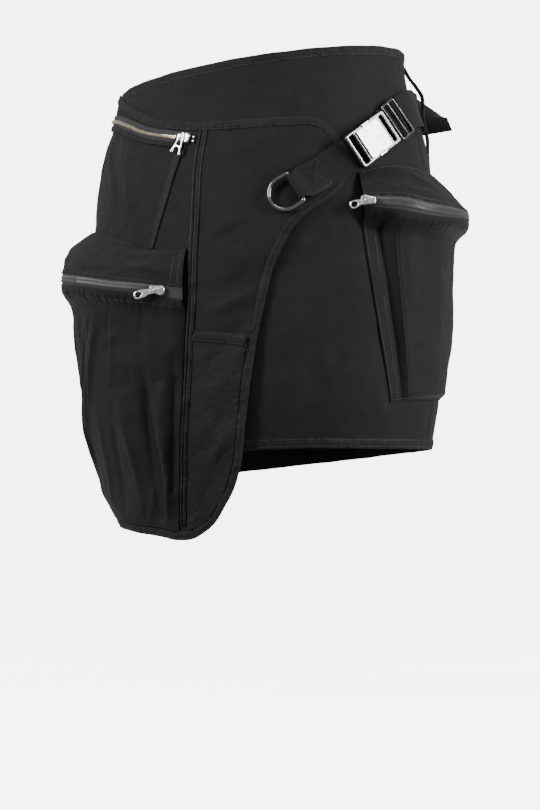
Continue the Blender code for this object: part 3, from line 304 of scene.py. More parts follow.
class Layers:
    """How far each layer of cloth stands off the form, fine folds included."""

    BODY_BROAD = (
        Fold(47.0, 0.150, 40.0, 0.360, -0.0012, 0.020),
        Fold(33.0, 0.230, 30.0, 0.370, 0.0010, 0.016),
        Fold(-150.0, 0.120, -158.0, 0.360, 0.0012, 0.024),
        Fold(172.0, 0.100, 165.0, 0.360, -0.0012, 0.026),
    )
    BODY_FINE = (
        Fold(46.0, 0.235, 44.0, 0.318, 0.0007, 0.0060, 0.004),
        Fold(40.0, 0.300, 36.5, 0.382, -0.0006, 0.0070, -0.003),
        Fold(28.0, 0.270, 27.0, 0.372, 0.0005, 0.0060),
        Fold(-16.0, 0.012, 24.0, 0.022, -0.0006, 0.0070, 0.004),
        Fold(8.0, 0.020, 40.0, 0.040, 0.0006, 0.0060, 0.003),
        Fold(62.0, 0.330, 70.0, 0.372, 0.0006, 0.0060),
        Fold(110.0, 0.140, 150.0, 0.180, -0.0007, 0.0110, 0.006),
        Fold(140.0, 0.250, 152.0, 0.350, 0.0007, 0.0100, 0.004),
        Fold(-120.0, 0.080, -160.0, 0.110, 0.0007, 0.0100, 0.005),
        Fold(-110.0, 0.220, -125.0, 0.340, -0.0007, 0.0120, -0.005),
        Fold(170.0, 0.180, 178.0, 0.300, 0.0006, 0.0110),
    )
    WRAP_BROAD = (
        Fold(5.0, 0.225, 31.0, 0.205, -0.0022, 0.013),
        Fold(4.0, 0.300, 27.0, 0.225, -0.0022, 0.014),
        Fold(-4.0, 0.375, 19.0, 0.320, -0.0028, 0.015),
        Fold(-38.0, 0.060, -24.0, 0.130, 0.0022, 0.012),
        Fold(-60.0, 0.040, -60.0, 0.130, 0.0020, 0.010),
        Fold(-30.0, 0.055, -16.0, 0.115, -0.0016, 0.012),
    )
    WRAP_FINE = (
        Fold(-52.0, 0.042, -36.0, 0.112, 0.0010, 0.0050, 0.004, 0.3),
        Fold(-44.0, 0.050, -30.0, 0.140, -0.0009, 0.0060, -0.003),
        Fold(-33.0, 0.056, -22.0, 0.150, 0.0009, 0.0045, 0.003, -0.3),
        Fold(-20.0, 0.066, -18.5, 0.155, -0.0007, 0.0055),
        Fold(-70.0, 0.040, -72.0, 0.120, 0.0008, 0.0070),
        Fold(8.0, 0.085, 30.0, 0.070, 0.0006, 0.0080, 0.003),
        Fold(10.0, 0.180, 30.0, 0.120, -0.0007, 0.0090, 0.006),
        Fold(5.0, 0.160, 24.0, 0.150, 0.0006, 0.0070, 0.002),
        Fold(6.0, 0.238, 23.0, 0.222, 0.0008, 0.0055, 0.002, 0.3),
        Fold(14.0, 0.300, 22.0, 0.240, 0.0007, 0.0060, 0.002),
        Fold(-2.0, 0.400, 14.0, 0.352, 0.0009, 0.0060, 0.003),
        Fold(28.0, 0.112, 44.0, 0.092, 0.0008, 0.0060, 0.002),
        Fold(40.0, 0.090, 50.0, 0.108, -0.0007, 0.0050),
    )

    @classmethod
    def body_face(cls, phi: Array, drop: Array) -> Array:
        """The outside of the under layer, before its fine folds."""
        return BODY_GAP + WALL + relief(cls.BODY_BROAD, phi, drop)

    @classmethod
    def body_outer(cls, phi: Array, drop: Array) -> Array:
        """The outside of the under layer."""
        turn = np.where(phi < 180.0, phi, phi - 360.0)
        near = ease((drop - 0.010) / 0.020) * ease((0.372 - drop) / 0.020)
        fine = 1.6 * relief(cls.BODY_FINE, turn, drop) + wander(phi, drop, 0.00022, 0.00012)
        return cls.body_face(turn, drop) + near * fine

    @classmethod
    def wrap_bed(cls, phi: Array, drop: Array) -> Array:
        """The inside of the wrap, before its fine folds."""
        body = cls.body_face(phi, drop)
        room = 0.0030 * ease((phi - 3.0) / 8.0) * ease((46.0 - phi) / 12.0) * ease((drop - 0.10) / 0.06)
        room = room + 0.0016 * ease((-4.0 - phi) / 8.0) * ease((drop - 0.03) / 0.04)
        kick = 0.0050 * ease((drop - 0.25) / 0.13) * np.exp(-(((phi - 17.0) / 14.0) ** 2))
        curl = 0.0090 * ease((drop - 0.395) / 0.035) * ease((-32.0 - phi) / 30.0)
        lift = np.maximum(0.0, room + relief(cls.WRAP_BROAD, phi, drop))
        return body + PLY_GAP + lift + kick - curl

    @classmethod
    def wrap_outer(cls, phi: Array, drop: Array) -> Array:
        """The outside of the wrap."""
        fine = 1.7 * relief(cls.WRAP_FINE, phi, drop) + wander(phi, drop, 0.00014, 0.00014)
        return cls.wrap_bed(phi, drop) + WALL + np.maximum(fine, -0.0005)


def on_cloth(surface: Callable[[Array, Array], Array], flat: Array, lift: Array) -> Array:
    """Points off a cloth surface at (girth, drop) places."""
    phi, drop = phi_at(flat[..., 0]), flat[..., 1]
    return form_point(phi, drop, surface(phi, drop) + lift)


def along_line(line: Line, surface: Callable[[Array, Array], Array]) -> Place:
    """A Place that follows a line on a cloth surface: share of its length, across it, off it."""

    def place(share: Array, across: Array, lift: Array) -> Array:
        return on_cloth(surface, line.beside(share, across), np.asarray(lift))

    return place


def frame_of(place: Place, share: float, lift: float, turn: float = 0.0, reach: float = 0.002) -> Matrix:
    """Matrix at a place: X along, Z off the cloth, turned about Z in degrees."""

    def at(along: float, across: float) -> Vector:
        return Vector(place(np.array(along), np.array(across), np.array(lift)).tolist())

    along = (at(share + reach, 0.0) - at(share - reach, 0.0)).normalized()
    up = (at(share, -reach) - at(share, reach)).normalized()
    out = along.cross(up).normalized()
    axes = Matrix((along, out.cross(along), out)).transposed().to_4x4()
    return Matrix.Translation(at(share, 0.0)) @ axes @ Matrix.Rotation(math.radians(turn), 4, "Z")


class Maker:
    """Turns arrays of points into pieces."""

    @staticmethod
    def mesh(name: str, points: Array, faces: list, uv: Array | None, finish: bpy.types.Material,
             soft: float = 40.0) -> bpy.types.Object:
        """A smooth mesh object.

        Args:
            name: The piece's name.
            points: Its vertices.
            faces: Lists or arrays of vertex numbers.
            uv: Flat cloth metres of each vertex, or None.
            finish: Its material.
            soft: Edges over this angle stay sharp, in degrees.

        Returns:
            The new object.
        """
        mesh = bpy.data.meshes.new(name)
        mesh.from_pydata(points.reshape(-1, 3).tolist(), [], faces)
        if uv is not None:
            layer = mesh.uv_layers.new(name="cloth")
            corners = np.empty(len(mesh.loops), np.int32)
            mesh.loops.foreach_get("vertex_index", corners)
            layer.data.foreach_set("uv", uv.reshape(-1, 2)[corners].astype(np.float32).ravel())
        mesh.materials.append(finish)
        mesh.shade_smooth()
        mesh.set_sharp_from_angle(angle=math.radians(soft))
        made = bpy.data.objects.new(name, mesh)
        bpy.context.scene.collection.objects.link(made)
        return made

    @staticmethod
    def quads(rows: int, columns: int, start: int = 0, flip: bool = False, around: bool = False) -> list:
        """Quads of a grid of vertices, closed round in its columns if around."""
        last = columns if around else columns - 1
        i, j = np.meshgrid(np.arange(rows - 1), np.arange(last), indexing="ij")
        k = (j + 1) % columns
        corners = (i * columns + j, i * columns + k, (i + 1) * columns + k, (i + 1) * columns + j)
        faces = np.stack(corners, -1).reshape(-1, 4) + start
        return (faces[:, ::-1] if flip else faces).tolist()

    @staticmethod
    def rim(tall: int, wide: int) -> tuple[Array, Array]:
        """The vertex numbers round a grid's edge, and the next one after each."""
        numbers = np.arange(tall * wide).reshape(tall, wide)
        edge = np.concatenate((numbers[0, :-1], numbers[:-1, -1], numbers[-1, :0:-1], numbers[:0:-1, 0]))
        return edge, np.roll(edge, -1)

    @classmethod
    def shell(cls, name: str, surface: Callable[[Array, Array], tuple[Array, Array, Array]], columns: int,
              rows: int, finish: bpy.types.Material, thick: float = CLOTH) -> bpy.types.Object:
        """A thin shell of cloth.

        Args:
            name: The piece's name.
            surface: Gives phi, drop and out of its outer face at u to the right and v down.
            columns, rows: The grid's steps.
            finish: Its material.
            thick: Its thickness, inwards.

        Returns:
            The new object.
        """
        u, v = np.meshgrid(np.linspace(0.0, 1.0, columns + 1), np.linspace(0.0, 1.0, rows + 1))
        phi, drop, out = np.broadcast_arrays(*surface(u, v))
        outer = form_point(phi, drop, out)
        run_u, run_v = np.gradient(outer, axis=1), np.gradient(outer, axis=0)
        normal = np.cross(run_v, run_u)
        normal /= np.maximum(np.linalg.norm(normal, axis=-1, keepdims=True), 1e-12)
        inner = outer - thick * normal
        wide, tall = columns + 1, rows + 1
        start = wide * tall
        faces = cls.quads(tall, wide, flip=True) + cls.quads(tall, wide, start)
        rim, ahead = cls.rim(tall, wide)
        faces += np.stack((rim, ahead, ahead + start, rim + start), -1).tolist()
        uv = np.stack((girth(phi), drop), -1)
        return cls.mesh(name, np.stack((outer, inner)), faces, np.stack((uv, uv)), finish, 55.0)

    @classmethod
    def strip(cls, name: str, place: Place, section: Array, shares: Array, finish: bpy.types.Material,
              ring: bool = False, rough: float = 0.0, length: float = 1.0, seed: int = 0,
              narrow: Pair = (1.0, 1.0)) -> bpy.types.Object:
        """A closed section of (across, lift) points carried along a Place.

        Args:
            name: The piece's name.
            place: Where it runs.
            section: Its points, anticlockwise seen from its start.
            shares: The stations.
            finish: Its material.
            ring: True if the last station joins the first.
            rough: Height of the small puckers on it, in metres.
            length: Metres of the whole run, so that puckers keep their size.
            seed: Draws the puckers.
            narrow: Widths at its start and end, as shares of the section's.

        Returns:
            The new object.
        """
        section = np.asarray(section, float)
        share, k = np.meshgrid(shares, np.arange(len(section)), indexing="ij")
        across, lift = section[k, 0], section[k, 1]
        high = (lift - section[:, 1].min()) / np.ptp(section[:, 1])
        wave = Ripple(20 + seed, 0.0042, 0.0095, 9)
        slow = Ripple(50 + seed, 0.020, 0.050, 9)
        run = share * length
        lift = lift + rough * high * (wave(run, across * 0.35) + 0.6 * slow(run, across))
        across = across * mix(narrow[0], narrow[1], share) + 0.5 * rough * slow(run + 0.3, 0.0)
        points = place(share, across, lift)
        count, wide = share.shape
        faces = cls.quads(count, wide, around=True)
        if ring:
            last = (count - 1) * wide
            numbers = np.arange(wide)
            ahead = np.roll(numbers, -1)
            faces += np.stack((last + numbers, last + ahead, ahead, numbers), -1).tolist()
        else:
            faces += [list(range(wide))[::-1], list(range((count - 1) * wide, count * wide))]
        uv = np.stack((run, across), -1)
        made = cls.mesh(name, points, faces, uv, finish, 60.0)
        cls.face_out(made)
        return made

    @staticmethod
    def face_out(made: bpy.types.Object) -> None:
        """Turns a closed mesh's faces outwards, by the sign of its volume."""
        mesh = made.data
        mesh.calc_loop_triangles()
        points = np.empty(len(mesh.vertices) * 3)
        mesh.vertices.foreach_get("co", points)
        points = points.reshape(-1, 3) - points.reshape(-1, 3).mean(0)
        corners = np.empty(len(mesh.loop_triangles) * 3, np.int32)
        mesh.loop_triangles.foreach_get("vertices", corners)
        a, b, c = points[corners].reshape(-1, 3, 3).transpose(1, 0, 2)
        if float(np.einsum("ij,ij->", a, np.cross(b, c))) < 0.0:
            mesh.flip_normals()

    @staticmethod
    def plate(name: str, outlines: Sequence[Sequence], thick: float, finish: bpy.types.Material,
              place: Matrix, edge: float = 0.0003, height: float = 0.0) -> bpy.types.Object:
        """A flat plate with windows and rounded edges, thick metres in Z from height."""
        curve = bpy.data.curves.new(name, "CURVE")
        curve.dimensions = "2D"
        curve.fill_mode = "BOTH"
        curve.extrude = 0.5 * thick - edge
        curve.bevel_depth = edge
        curve.bevel_resolution = 2
        curve.offset = -edge
        for outline in outlines:
            spline = curve.splines.new("POLY")
            spline.points.add(len(outline) - 1)
            for target, point in zip(spline.points, outline):
                target.co = (point[0], point[1], 0.0, 1.0)
            spline.use_cyclic_u = True
        curve.materials.append(finish)
        made = bpy.data.objects.new(name, curve)
        made.matrix_world = place @ Matrix.Translation((0.0, 0.0, height + 0.5 * thick))
        bpy.context.scene.collection.objects.link(made)
        return made

    @staticmethod
    def wire(name: str, points: Sequence[Sequence[float]], radius: float, finish: bpy.types.Material,
             place: Matrix, closed: bool = True) -> bpy.types.Object:
        """Round wire along points."""
        curve = bpy.data.curves.new(name, "CURVE")
        curve.dimensions = "3D"
        curve.bevel_depth = radius
        curve.bevel_resolution = 5
        curve.use_fill_caps = True
        spline = curve.splines.new("POLY")
        spline.points.add(len(points) - 1)
        for target, point in zip(spline.points, points):
            target.co = (*point, 1.0)
        spline.use_cyclic_u = closed
        spline.use_smooth = True
        curve.materials.append(finish)
        made = bpy.data.objects.new(name, curve)
        made.matrix_world = place
        bpy.context.scene.collection.objects.link(made)
        return made

    @classmethod
    def studs(cls, name: str, spots: Sequence[tuple[float, float, float, float, float]],
              finish: bpy.types.Material, place: Matrix) -> bpy.types.Object:
        """Low domed discs at (x, y, z, radius, height) in a place's frame, as one piece."""
        points, faces = [], []
        for x, y, z, radius, height in spots:
            start, rings = len(points), ((1.0, 0.0), (1.0, 0.55), (0.82, 0.88), (0.45, 1.0))
            for reach, rise in rings:
                for turn in np.linspace(0.0, 2.0 * math.pi, 17)[:-1]:
                    points.append((x + reach * radius * math.cos(turn), y + reach * radius * math.sin(turn),
                                   z + rise * height))
            faces += cls.quads(4, 16, start, around=True)
            faces.append(list(range(start + 48, start + 64)))
            faces.append(list(range(start, start + 16))[::-1])
        made = cls.mesh(name, np.array(points), faces, None, finish, 50.0)
        made.matrix_world = place
        return made


def rounded(points: Sequence[Pair], corner: float | Sequence[float], steps: int = 6) -> list[Vector]:
    """A closed outline with its corners rounded by one radius or one for each point."""
    radii = list(corner) if isinstance(corner, (list, tuple)) else [corner] * len(points)
    made = []
    for i, point in enumerate(points):
        here = Vector(point)
        back = (Vector(points[i - 1]) - here).normalized()
        ahead = (Vector(points[(i + 1) % len(points)]) - here).normalized()
        half = 0.5 * back.angle(ahead)
        if radii[i] <= 0.0:
            made.append(here)
            continue
        centre = here + (back + ahead).normalized() * radii[i] / math.sin(half)
        start = here + back * radii[i] / math.tan(half) - centre
        end = here + ahead * radii[i] / math.tan(half) - centre
        sweep = start.angle_signed(end)
        for step in range(steps + 1):
            turned = start.copy()
            turned.rotate(Matrix.Rotation(-sweep * step / steps, 2))
            made.append(centre + turned)
    return made


def box_outline(x_low: float, x_high: float, y_low: float, y_high: float,
                corner: float = 0.0) -> list[Vector]:
    """A rounded rectangle."""
    return rounded(((x_low, y_low), (x_high, y_low), (x_high, y_high), (x_low, y_high)), corner)


class Stitching:
    """Rows of thread on one part of the skirt, gathered into one piece."""

    LENGTH = 0.0023
    PITCH = 0.0031
    RADIUS = 0.00024

    def __init__(self, seed: int) -> None:
        self.draw = np.random.default_rng(seed)
        self.points: list[Array] = []
        self.faces: list[Array] = []
        self.count = 0

    def row(self, place: Place, length: float, across: float | Callable[[Array], Array],
            lift: float = 0.00008, start: float = 0.0, end: float = 1.0) -> None:
        """Adds a row along a Place.

        Args:
            place: Where it runs; length is that run's metres.
            across: How far across, or a function of the share.
            lift: Height of the thread's middle.
            start, end: Shares where it starts and ends.
        """
        number = max(2, int(length * (end - start) / self.PITCH))
        share = start + (end - start) * (np.arange(number) + 0.5) / number
        share = share + self.draw.uniform(-0.10, 0.10, number) * self.PITCH / length
        aside = across(share) if callable(across) else np.full(number, across)
        aside = aside + self.draw.uniform(-0.00012, 0.00012, number)
        half = 0.5 * self.LENGTH / length
        height = np.full(number, lift)
        middle = place(share, aside, height)
        ahead = place(share + half, aside, height) - middle
        up = place(share, aside, height + 0.001) - middle
        ahead_unit = ahead / np.linalg.norm(ahead, axis=1, keepdims=True)
        up = up - ahead_unit * np.sum(up * ahead_unit, axis=1, keepdims=True)
        up /= np.linalg.norm(up, axis=1, keepdims=True)
        side = np.cross(ahead_unit, up)
        rings = []
        for reach, radius in ((-0.72, 0.8), (0.0, 1.0), (0.72, 0.8)):
            for turn in (45.0, 135.0, 225.0, 315.0):
                swing = radius * self.RADIUS
                x, z = math.cos(math.radians(turn)) * swing, math.sin(math.radians(turn)) * swing
                rings.append(middle + ahead * reach + side * x + up * z)
        rings.append(middle - ahead - up * self.RADIUS * 0.7)
        rings.append(middle + ahead - up * self.RADIUS * 0.7)
        self.points.append(np.stack(rings, 1).reshape(-1, 3))
        template = []
        for ring in (0, 4):
            for k in range(4):
                j = (k + 1) % 4
                template.append((ring + k, ring + j, ring + 4 + j, ring + 4 + k))
        template += [(12, (k + 1) % 4, k, k) for k in range(4)]
        template += [(13, 8 + k, 8 + (k + 1) % 4, 8 + (k + 1) % 4) for k in range(4)]
        faces = np.array(template)[None] + (np.arange(number) * 14)[:, None, None] + self.count
        self.faces.append(faces.reshape(-1, 4))
        self.count += 14 * number

    def finish(self, name: str) -> None:
        """Makes the rows into one piece of thread."""
        faces = [list(dict.fromkeys(face)) for face in np.concatenate(self.faces).tolist()]
        LOG.info("%s: %d stitches", name, self.count // 14)
        thread = Shop.material(Finish.THREAD)
        Shop.fit(Maker.mesh(name, np.concatenate(self.points), faces, None, thread, 60.0), Finish.THREAD)


class Wire:
    """A shader socket with arithmetic."""

    def __init__(self, graph: Graph, socket: bpy.types.NodeSocket) -> None:
        self.graph, self.socket = graph, socket

    def _math(self, operation: str, *values: Wire | float) -> Wire:
        return self.graph.node("ShaderNodeMath", dict(enumerate(values)), operation=operation)

    def __add__(self, other: Wire | float) -> Wire:
        return self._math("ADD", self, other)

    def __radd__(self, other: float) -> Wire:
        return self._math("ADD", other, self)

    def __sub__(self, other: Wire | float) -> Wire:
        return self._math("SUBTRACT", self, other)

    def __mul__(self, other: Wire | float) -> Wire:
        return self._math("MULTIPLY", self, other)

    def sine(self) -> Wire:
        """The sine of the value."""
        return self._math("SINE", self)

    def step(self, low: float, high: float) -> Wire:
        """0 below low, 1 above high and a soft step between."""
        inputs = {"Value": self, "From Min": low, "From Max": high}
        return self.graph.node("ShaderNodeMapRange", inputs, interpolation_type="SMOOTHSTEP")


class Graph:
    """A material's node tree, built by calls."""

    def __init__(self, name: str) -> None:
        self.material = bpy.data.materials.new(name)
        self.material.use_nodes = True
        self.tree = self.material.node_tree
        self.shader = self.tree.nodes["Principled BSDF"]

    def node(self, kind: str, inputs: dict | None = None, output: str | int = 0, **settings) -> Wire:
        """Adds a node.

        Args:
            kind: The node's type.
            inputs: Wires or numbers by socket name or number.
            output: The socket to return.
            settings: The node's own settings.

        Returns:
            The output.
        """
        made = self.tree.nodes.new(kind)
        for key, value in settings.items():
            setattr(made, key, value)
        for key, value in (inputs or {}).items():
            self.feed(made.inputs[key], value)
        return Wire(self, made.outputs[output])

    def feed(self, socket: bpy.types.NodeSocket, value: Wire | float | tuple) -> None:
        """Links a wire to a socket, or sets its number."""
        if isinstance(value, Wire):
            self.tree.links.new(value.socket, socket)
        else:
            socket.default_value = value

    def blend(self, share: Wire | float, a: tuple | Wire, b: tuple | Wire) -> Wire:
        """A colour between two colours."""
        made = self.tree.nodes.new("ShaderNodeMix")
        made.data_type = "RGBA"
        self.feed(made.inputs[0], share)
        self.feed(made.inputs[6], (*a, 1.0) if isinstance(a, tuple) else a)
        self.feed(made.inputs[7], (*b, 1.0) if isinstance(b, tuple) else b)
        return Wire(self, made.outputs[2])

    def set(self, **values: Wire | float | tuple) -> None:
        """Feeds the shader's sockets, named with underscores for spaces."""
        for key, value in values.items():
            self.feed(self.shader.inputs[key.replace("_", " ")], value)

    def bump(self, height: Wire, strength: float, distance: float) -> None:
        """Feeds a height to the shader's normal."""
        wire = self.node("ShaderNodeBump", {"Height": height, "Strength": strength, "Distance": distance})
        self.set(Normal=wire)


@dataclass(frozen=True)
class ClothFinish:
    """A woven cloth: its dark and worn colours, roughness, weave pitch in metres, slant and relief."""

    name: str
    dark: tuple[float, float, float]
    worn: tuple[float, float, float]
    roughness: float
    pitch: float
    slant: float
    sheen: float
    bump: float

    def build(self) -> bpy.types.Material:
        """Makes the material."""
        graph = Graph(self.name)
        uv = graph.node("ShaderNodeUVMap", output="UV", uv_map="cloth")
        flat = graph.node("ShaderNodeSeparateXYZ", {0: uv})
        along, down = Wire(graph, flat.socket.node.outputs[0]), Wire(graph, flat.socket.node.outputs[1])
        turn = 2.0 * math.pi / self.pitch
        twill = ((along + down * self.slant) * turn).sine() * 0.5 + 0.5
        cross = (down * (turn * 1.31)).sine() * 0.5 + 0.5
        grain = graph.node("ShaderNodeTexNoise", {"Vector": uv, "Scale": 900.0, "Detail": 2.0})
        cloud = graph.node(
            "ShaderNodeTexNoise", {"Vector": uv, "Scale": 14.0, "Detail": 4.0, "Roughness": 0.6})
        blotch = graph.node("ShaderNodeTexNoise", {"Vector": uv, "Scale": 70.0, "Detail": 3.0})
        lint = graph.node("ShaderNodeTexNoise", {"Vector": uv, "Scale": 420.0, "Detail": 0.0})
        wear = cloud.step(0.35, 0.75) * 0.55 + blotch.step(0.40, 0.75) * 0.25 + twill * 0.20
        base = graph.blend(wear, self.dark, self.worn)
        fleck = tuple(min(1.0, 2.6 * value + 0.01) for value in self.worn)
        graph.set(Base_Color=graph.blend(lint.step(0.80, 0.86) * 0.25, base, fleck))
        graph.set(Roughness=self.roughness + (cloud - 0.5) * 0.10)
        graph.set(Sheen_Weight=self.sheen, Sheen_Roughness=0.45, Specular_IOR_Level=0.13)
        graph.bump(twill * 0.7 + cross * 0.2 + grain * 0.6, self.bump, 0.00022)
        return graph.material


@dataclass(frozen=True)
class MetalFinish:
    """A metal: its colour, roughness and how much its polish varies."""

    name: str
    colour: tuple[float, float, float]
    roughness: float
    wear: float = 0.10

    def build(self) -> bpy.types.Material:
        """Makes the material."""
        graph = Graph(self.name)
        at = graph.node("ShaderNodeTexCoord", output="Object")
        cloud = graph.node("ShaderNodeTexNoise", {"Vector": at, "Scale": 260.0, "Detail": 3.0})
        fine = graph.node("ShaderNodeTexNoise", {"Vector": at, "Scale": 2400.0, "Detail": 1.0})
        dull = tuple(value * 0.72 for value in self.colour)
        graph.set(Base_Color=graph.blend(cloud.step(0.45, 0.75), self.colour, dull))
        graph.set(Metallic=1.0, Roughness=self.roughness + cloud * self.wear)
        graph.bump(cloud * 0.6 + fine * 0.4, 0.10, 0.00008)
        return graph.material


@dataclass(frozen=True)
class ThreadFinish:
    """Sewing thread or zip coil: its colour and roughness."""

    name: str
    colour: tuple[float, float, float]
    roughness: float

    def build(self) -> bpy.types.Material:
        """Makes the material."""
        graph = Graph(self.name)
        at = graph.node("ShaderNodeTexCoord", output="Object")
        cloud = graph.node("ShaderNodeTexNoise", {"Vector": at, "Scale": 700.0, "Detail": 2.0})
        light = tuple(min(1.0, value * 1.6 + 0.004) for value in self.colour)
        graph.set(Base_Color=graph.blend(cloud.step(0.35, 0.7), self.colour, light))
        graph.set(Roughness=self.roughness + cloud * 0.08)
        graph.bump(cloud, 0.15, 0.0001)
        return graph.material


class Finish(Enum):
    """Every finish of the skirt, with the frame's slot that it belongs to."""

    TWILL = (
        ClothFinish("cotton_twill", (0.0020, 0.0019, 0.0023), (0.0062, 0.0059, 0.0070), roughness=0.70,
                    pitch=0.0011, slant=1.0, sheen=0.05, bump=0.55),
        "black_twill",
    )
    BINDING = (
        ClothFinish("bias_binding", (0.0026, 0.0025, 0.0029), (0.0085, 0.0081, 0.0093), roughness=0.68,
                    pitch=0.0010, slant=-0.6, sheen=0.06, bump=0.55),
        "black_twill",
    )
    PATCH = (
        ClothFinish("ink_twill_cloth", (0.0027, 0.0026, 0.0038), (0.0072, 0.0069, 0.0098), roughness=0.70,
                    pitch=0.0011, slant=1.0, sheen=0.05, bump=0.55),
        "ink_twill",
    )
    WEBBING = (
        ClothFinish("strap_webbing", (0.0018, 0.0015, 0.0018), (0.0050, 0.0042, 0.0048), roughness=0.60,
                    pitch=0.0021, slant=0.0, sheen=0.04, bump=0.80),
        "black_webbing",
    )
    RIBBON = (
        ClothFinish("pull_ribbon", (0.0030, 0.0022, 0.0024), (0.0085, 0.0062, 0.0066), roughness=0.62,
                    pitch=0.0014, slant=0.0, sheen=0.05, bump=0.60),
        "brown_black_tape",
    )
    ZIP_TAPE = (
        ClothFinish("zip_tape", (0.0130, 0.0134, 0.0142), (0.0250, 0.0258, 0.0270), roughness=0.58,
                    pitch=0.0009, slant=0.4, sheen=0.05, bump=0.60),
        "charcoal_zip",
    )
    THREAD = (ThreadFinish("black_thread", (0.0085, 0.0084, 0.0092), 0.50), "black_twill")
    COIL = (ThreadFinish("zip_coil", (0.026, 0.0268, 0.0285), 0.42), "charcoal_zip")
    SILVER = (MetalFinish("silver_plate", (0.66, 0.64, 0.61), 0.20), "silver_metal")
    BRIGHT = (MetalFinish("brushed_silver", (0.58, 0.57, 0.55), 0.30, 0.16), "silver_metal")
    TEETH = (MetalFinish("pale_teeth", (0.70, 0.63, 0.50), 0.20), "pale_brass")
    NICKEL = (MetalFinish("black_nickel_wire", (0.16, 0.155, 0.155), 0.16, 0.05), "black_nickel")


class Shop:
    """Makes each finish's material once and puts each piece on its body."""

    _made: dict[Finish, bpy.types.Material] = {}

    @classmethod
    def material(cls, finish: Finish) -> bpy.types.Material:
        """The material of a finish."""
        if finish not in cls._made:
            cls._made[finish] = finish.value[0].build()
        return cls._made[finish]

    @staticmethod
    def fit(piece: bpy.types.Object, finish: Finish, *nodes: str, body: str = "skirt") -> bpy.types.Object:
        """Puts a piece on its CAD body, in place of the nodes that it stands for."""
        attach(piece, body)
        if nodes:
            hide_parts(*nodes)
        LOG.info("%s", piece.name)
        return piece


def band_section(width: float, low: float, high: float, rows: Sequence[float], inside: bool = True) -> Array:
    """A folded binding: a round outer edge, a soft face that dips at its stitch rows.

    Args:
        width: From its outer edge to its inner edge.
        low, high: Its lifts.
        rows: Where its stitch rows run, across from the outer edge.
        inside: True if its inner edge is turned in softly.

    Returns:
        Its points (across, lift).
    """
    radius = 0.5 * (high - low)
    turns = np.radians(np.linspace(-90.0, 90.0, 7))
    arc = [(radius - radius * math.cos(t), low + radius + radius * math.sin(t)) for t in turns]
    across = np.linspace(radius, width, 13)[1:]
    face = []
    for x in across:
        puff = 0.00022 * math.sin(math.pi * min(1.0, (x - radius) / (width - radius)))
        dip = sum(0.00034 * math.exp(-(((x - row) / 0.0007) ** 2)) for row in rows)
        turned = 0.5 * radius * max(0.0, (x - width + 0.0009) / 0.0009) ** 2 if inside else 0.0
        face.append((x, high + puff - dip - turned))
    return np.array([*arc, *face, (width, low)])


class UnderLayer:
    """The skirt's under layer: two panels, the waist binding and the hem band."""

    def __init__(self) -> None:
        self.stitches = Stitching(101)

    @staticmethod
    def waist_edge(phi: Array) -> Array:
        """The waist's top edge."""
        return -0.001 - 0.005 * np.cos(np.radians(phi - 20.0))

    @staticmethod
    def hem_edge(phi: Array) -> Array:
        """The hem's low edge."""
        away = (phi + 180.0) % 360.0 - 180.0 - 8.0
        return 0.392 - 0.018 * np.exp(-((away / 55.0) ** 2))

    def panel(self, name: str, phi_from: float, phi_to: float, flat: Pair, area: float) -> None:
        """One panel, its edges under the bands."""

        def surface(u: Array, v: Array) -> tuple[Array, Array, Array]:
            phi = mix(phi_from, phi_to, u)
            drop = mix(self.waist_edge(phi) + WAIST_BAND - 0.003, self.hem_edge(phi) - HEM_BAND + 0.003, v)
            seam = np.minimum(u, 1.0 - u) * abs(girth(phi_to) - girth(phi_from))
            pucker = 0.00022 * PUCKER(drop, seam) * np.exp(-((seam / 0.007) ** 2))
            tuck = -0.0007 * np.exp(-((seam / 0.0012) ** 2))
            return phi, drop, Layers.body_outer(phi, drop) + pucker + tuck

        piece = Maker.shell(name + "_cloth", surface, 150, 100, Shop.material(Finish.TWILL))
        Shop.fit(piece, Finish.TWILL, name)

    def band(self, name: str, edge: Callable[[Array], Array], width: float, low: float, high: float,
             rows: Sequence[float], seed: int, towards: float) -> None:
        """A band all round, from its outer edge by width towards the cloth."""
        length = 0.83 if towards > 0 else 0.94

        def place(share: Array, across: Array, lift: Array) -> Array:
            phi = -180.0 + 360.0 * np.asarray(share)
            drop = edge(phi) + towards * across
            base = BODY_GAP + relief(Layers.BODY_BROAD, phi, drop)
            return form_point(phi, drop, base + lift)

        section = band_section(width, low, high, rows)
        piece = Maker.strip(name + "_cloth", place, section, np.linspace(0.0, 1.0, 481)[:-1],
                            Shop.material(Finish.BINDING), ring=True, rough=0.00030, length=length, seed=seed)
        Shop.fit(piece, Finish.BINDING, name)
        for row in rows:
            self.stitches.row(place, length, row, high - 0.00002)

    def build(self) -> None:
        """Makes the layer."""
        self.panel("body_front", RIGHT_SEAM, LEFT_SEAM, (0.505, 0.372), 0.178)
        self.panel("body_back", LEFT_SEAM, 360.0 + RIGHT_SEAM, (0.475, 0.382), 0.168)
        self.band("waist_binding", self.waist_edge, WAIST_BAND, -0.0007, 0.0015, (0.0080,), 1, 1.0)
        self.band("body_hem", self.hem_edge, HEM_BAND, -0.0005, 0.0015, (0.0022, 0.0084), 2, -1.0)
        for phi in (RIGHT_SEAM - 1.6, LEFT_SEAM + 1.6):
            line = Line.through([(phi, drop) for drop in np.linspace(0.012, 0.372, 8)])
            self.stitches.row(along_line(line, Layers.body_outer), line.length, 0.0)
        self.stitches.finish("under_layer_stitching")


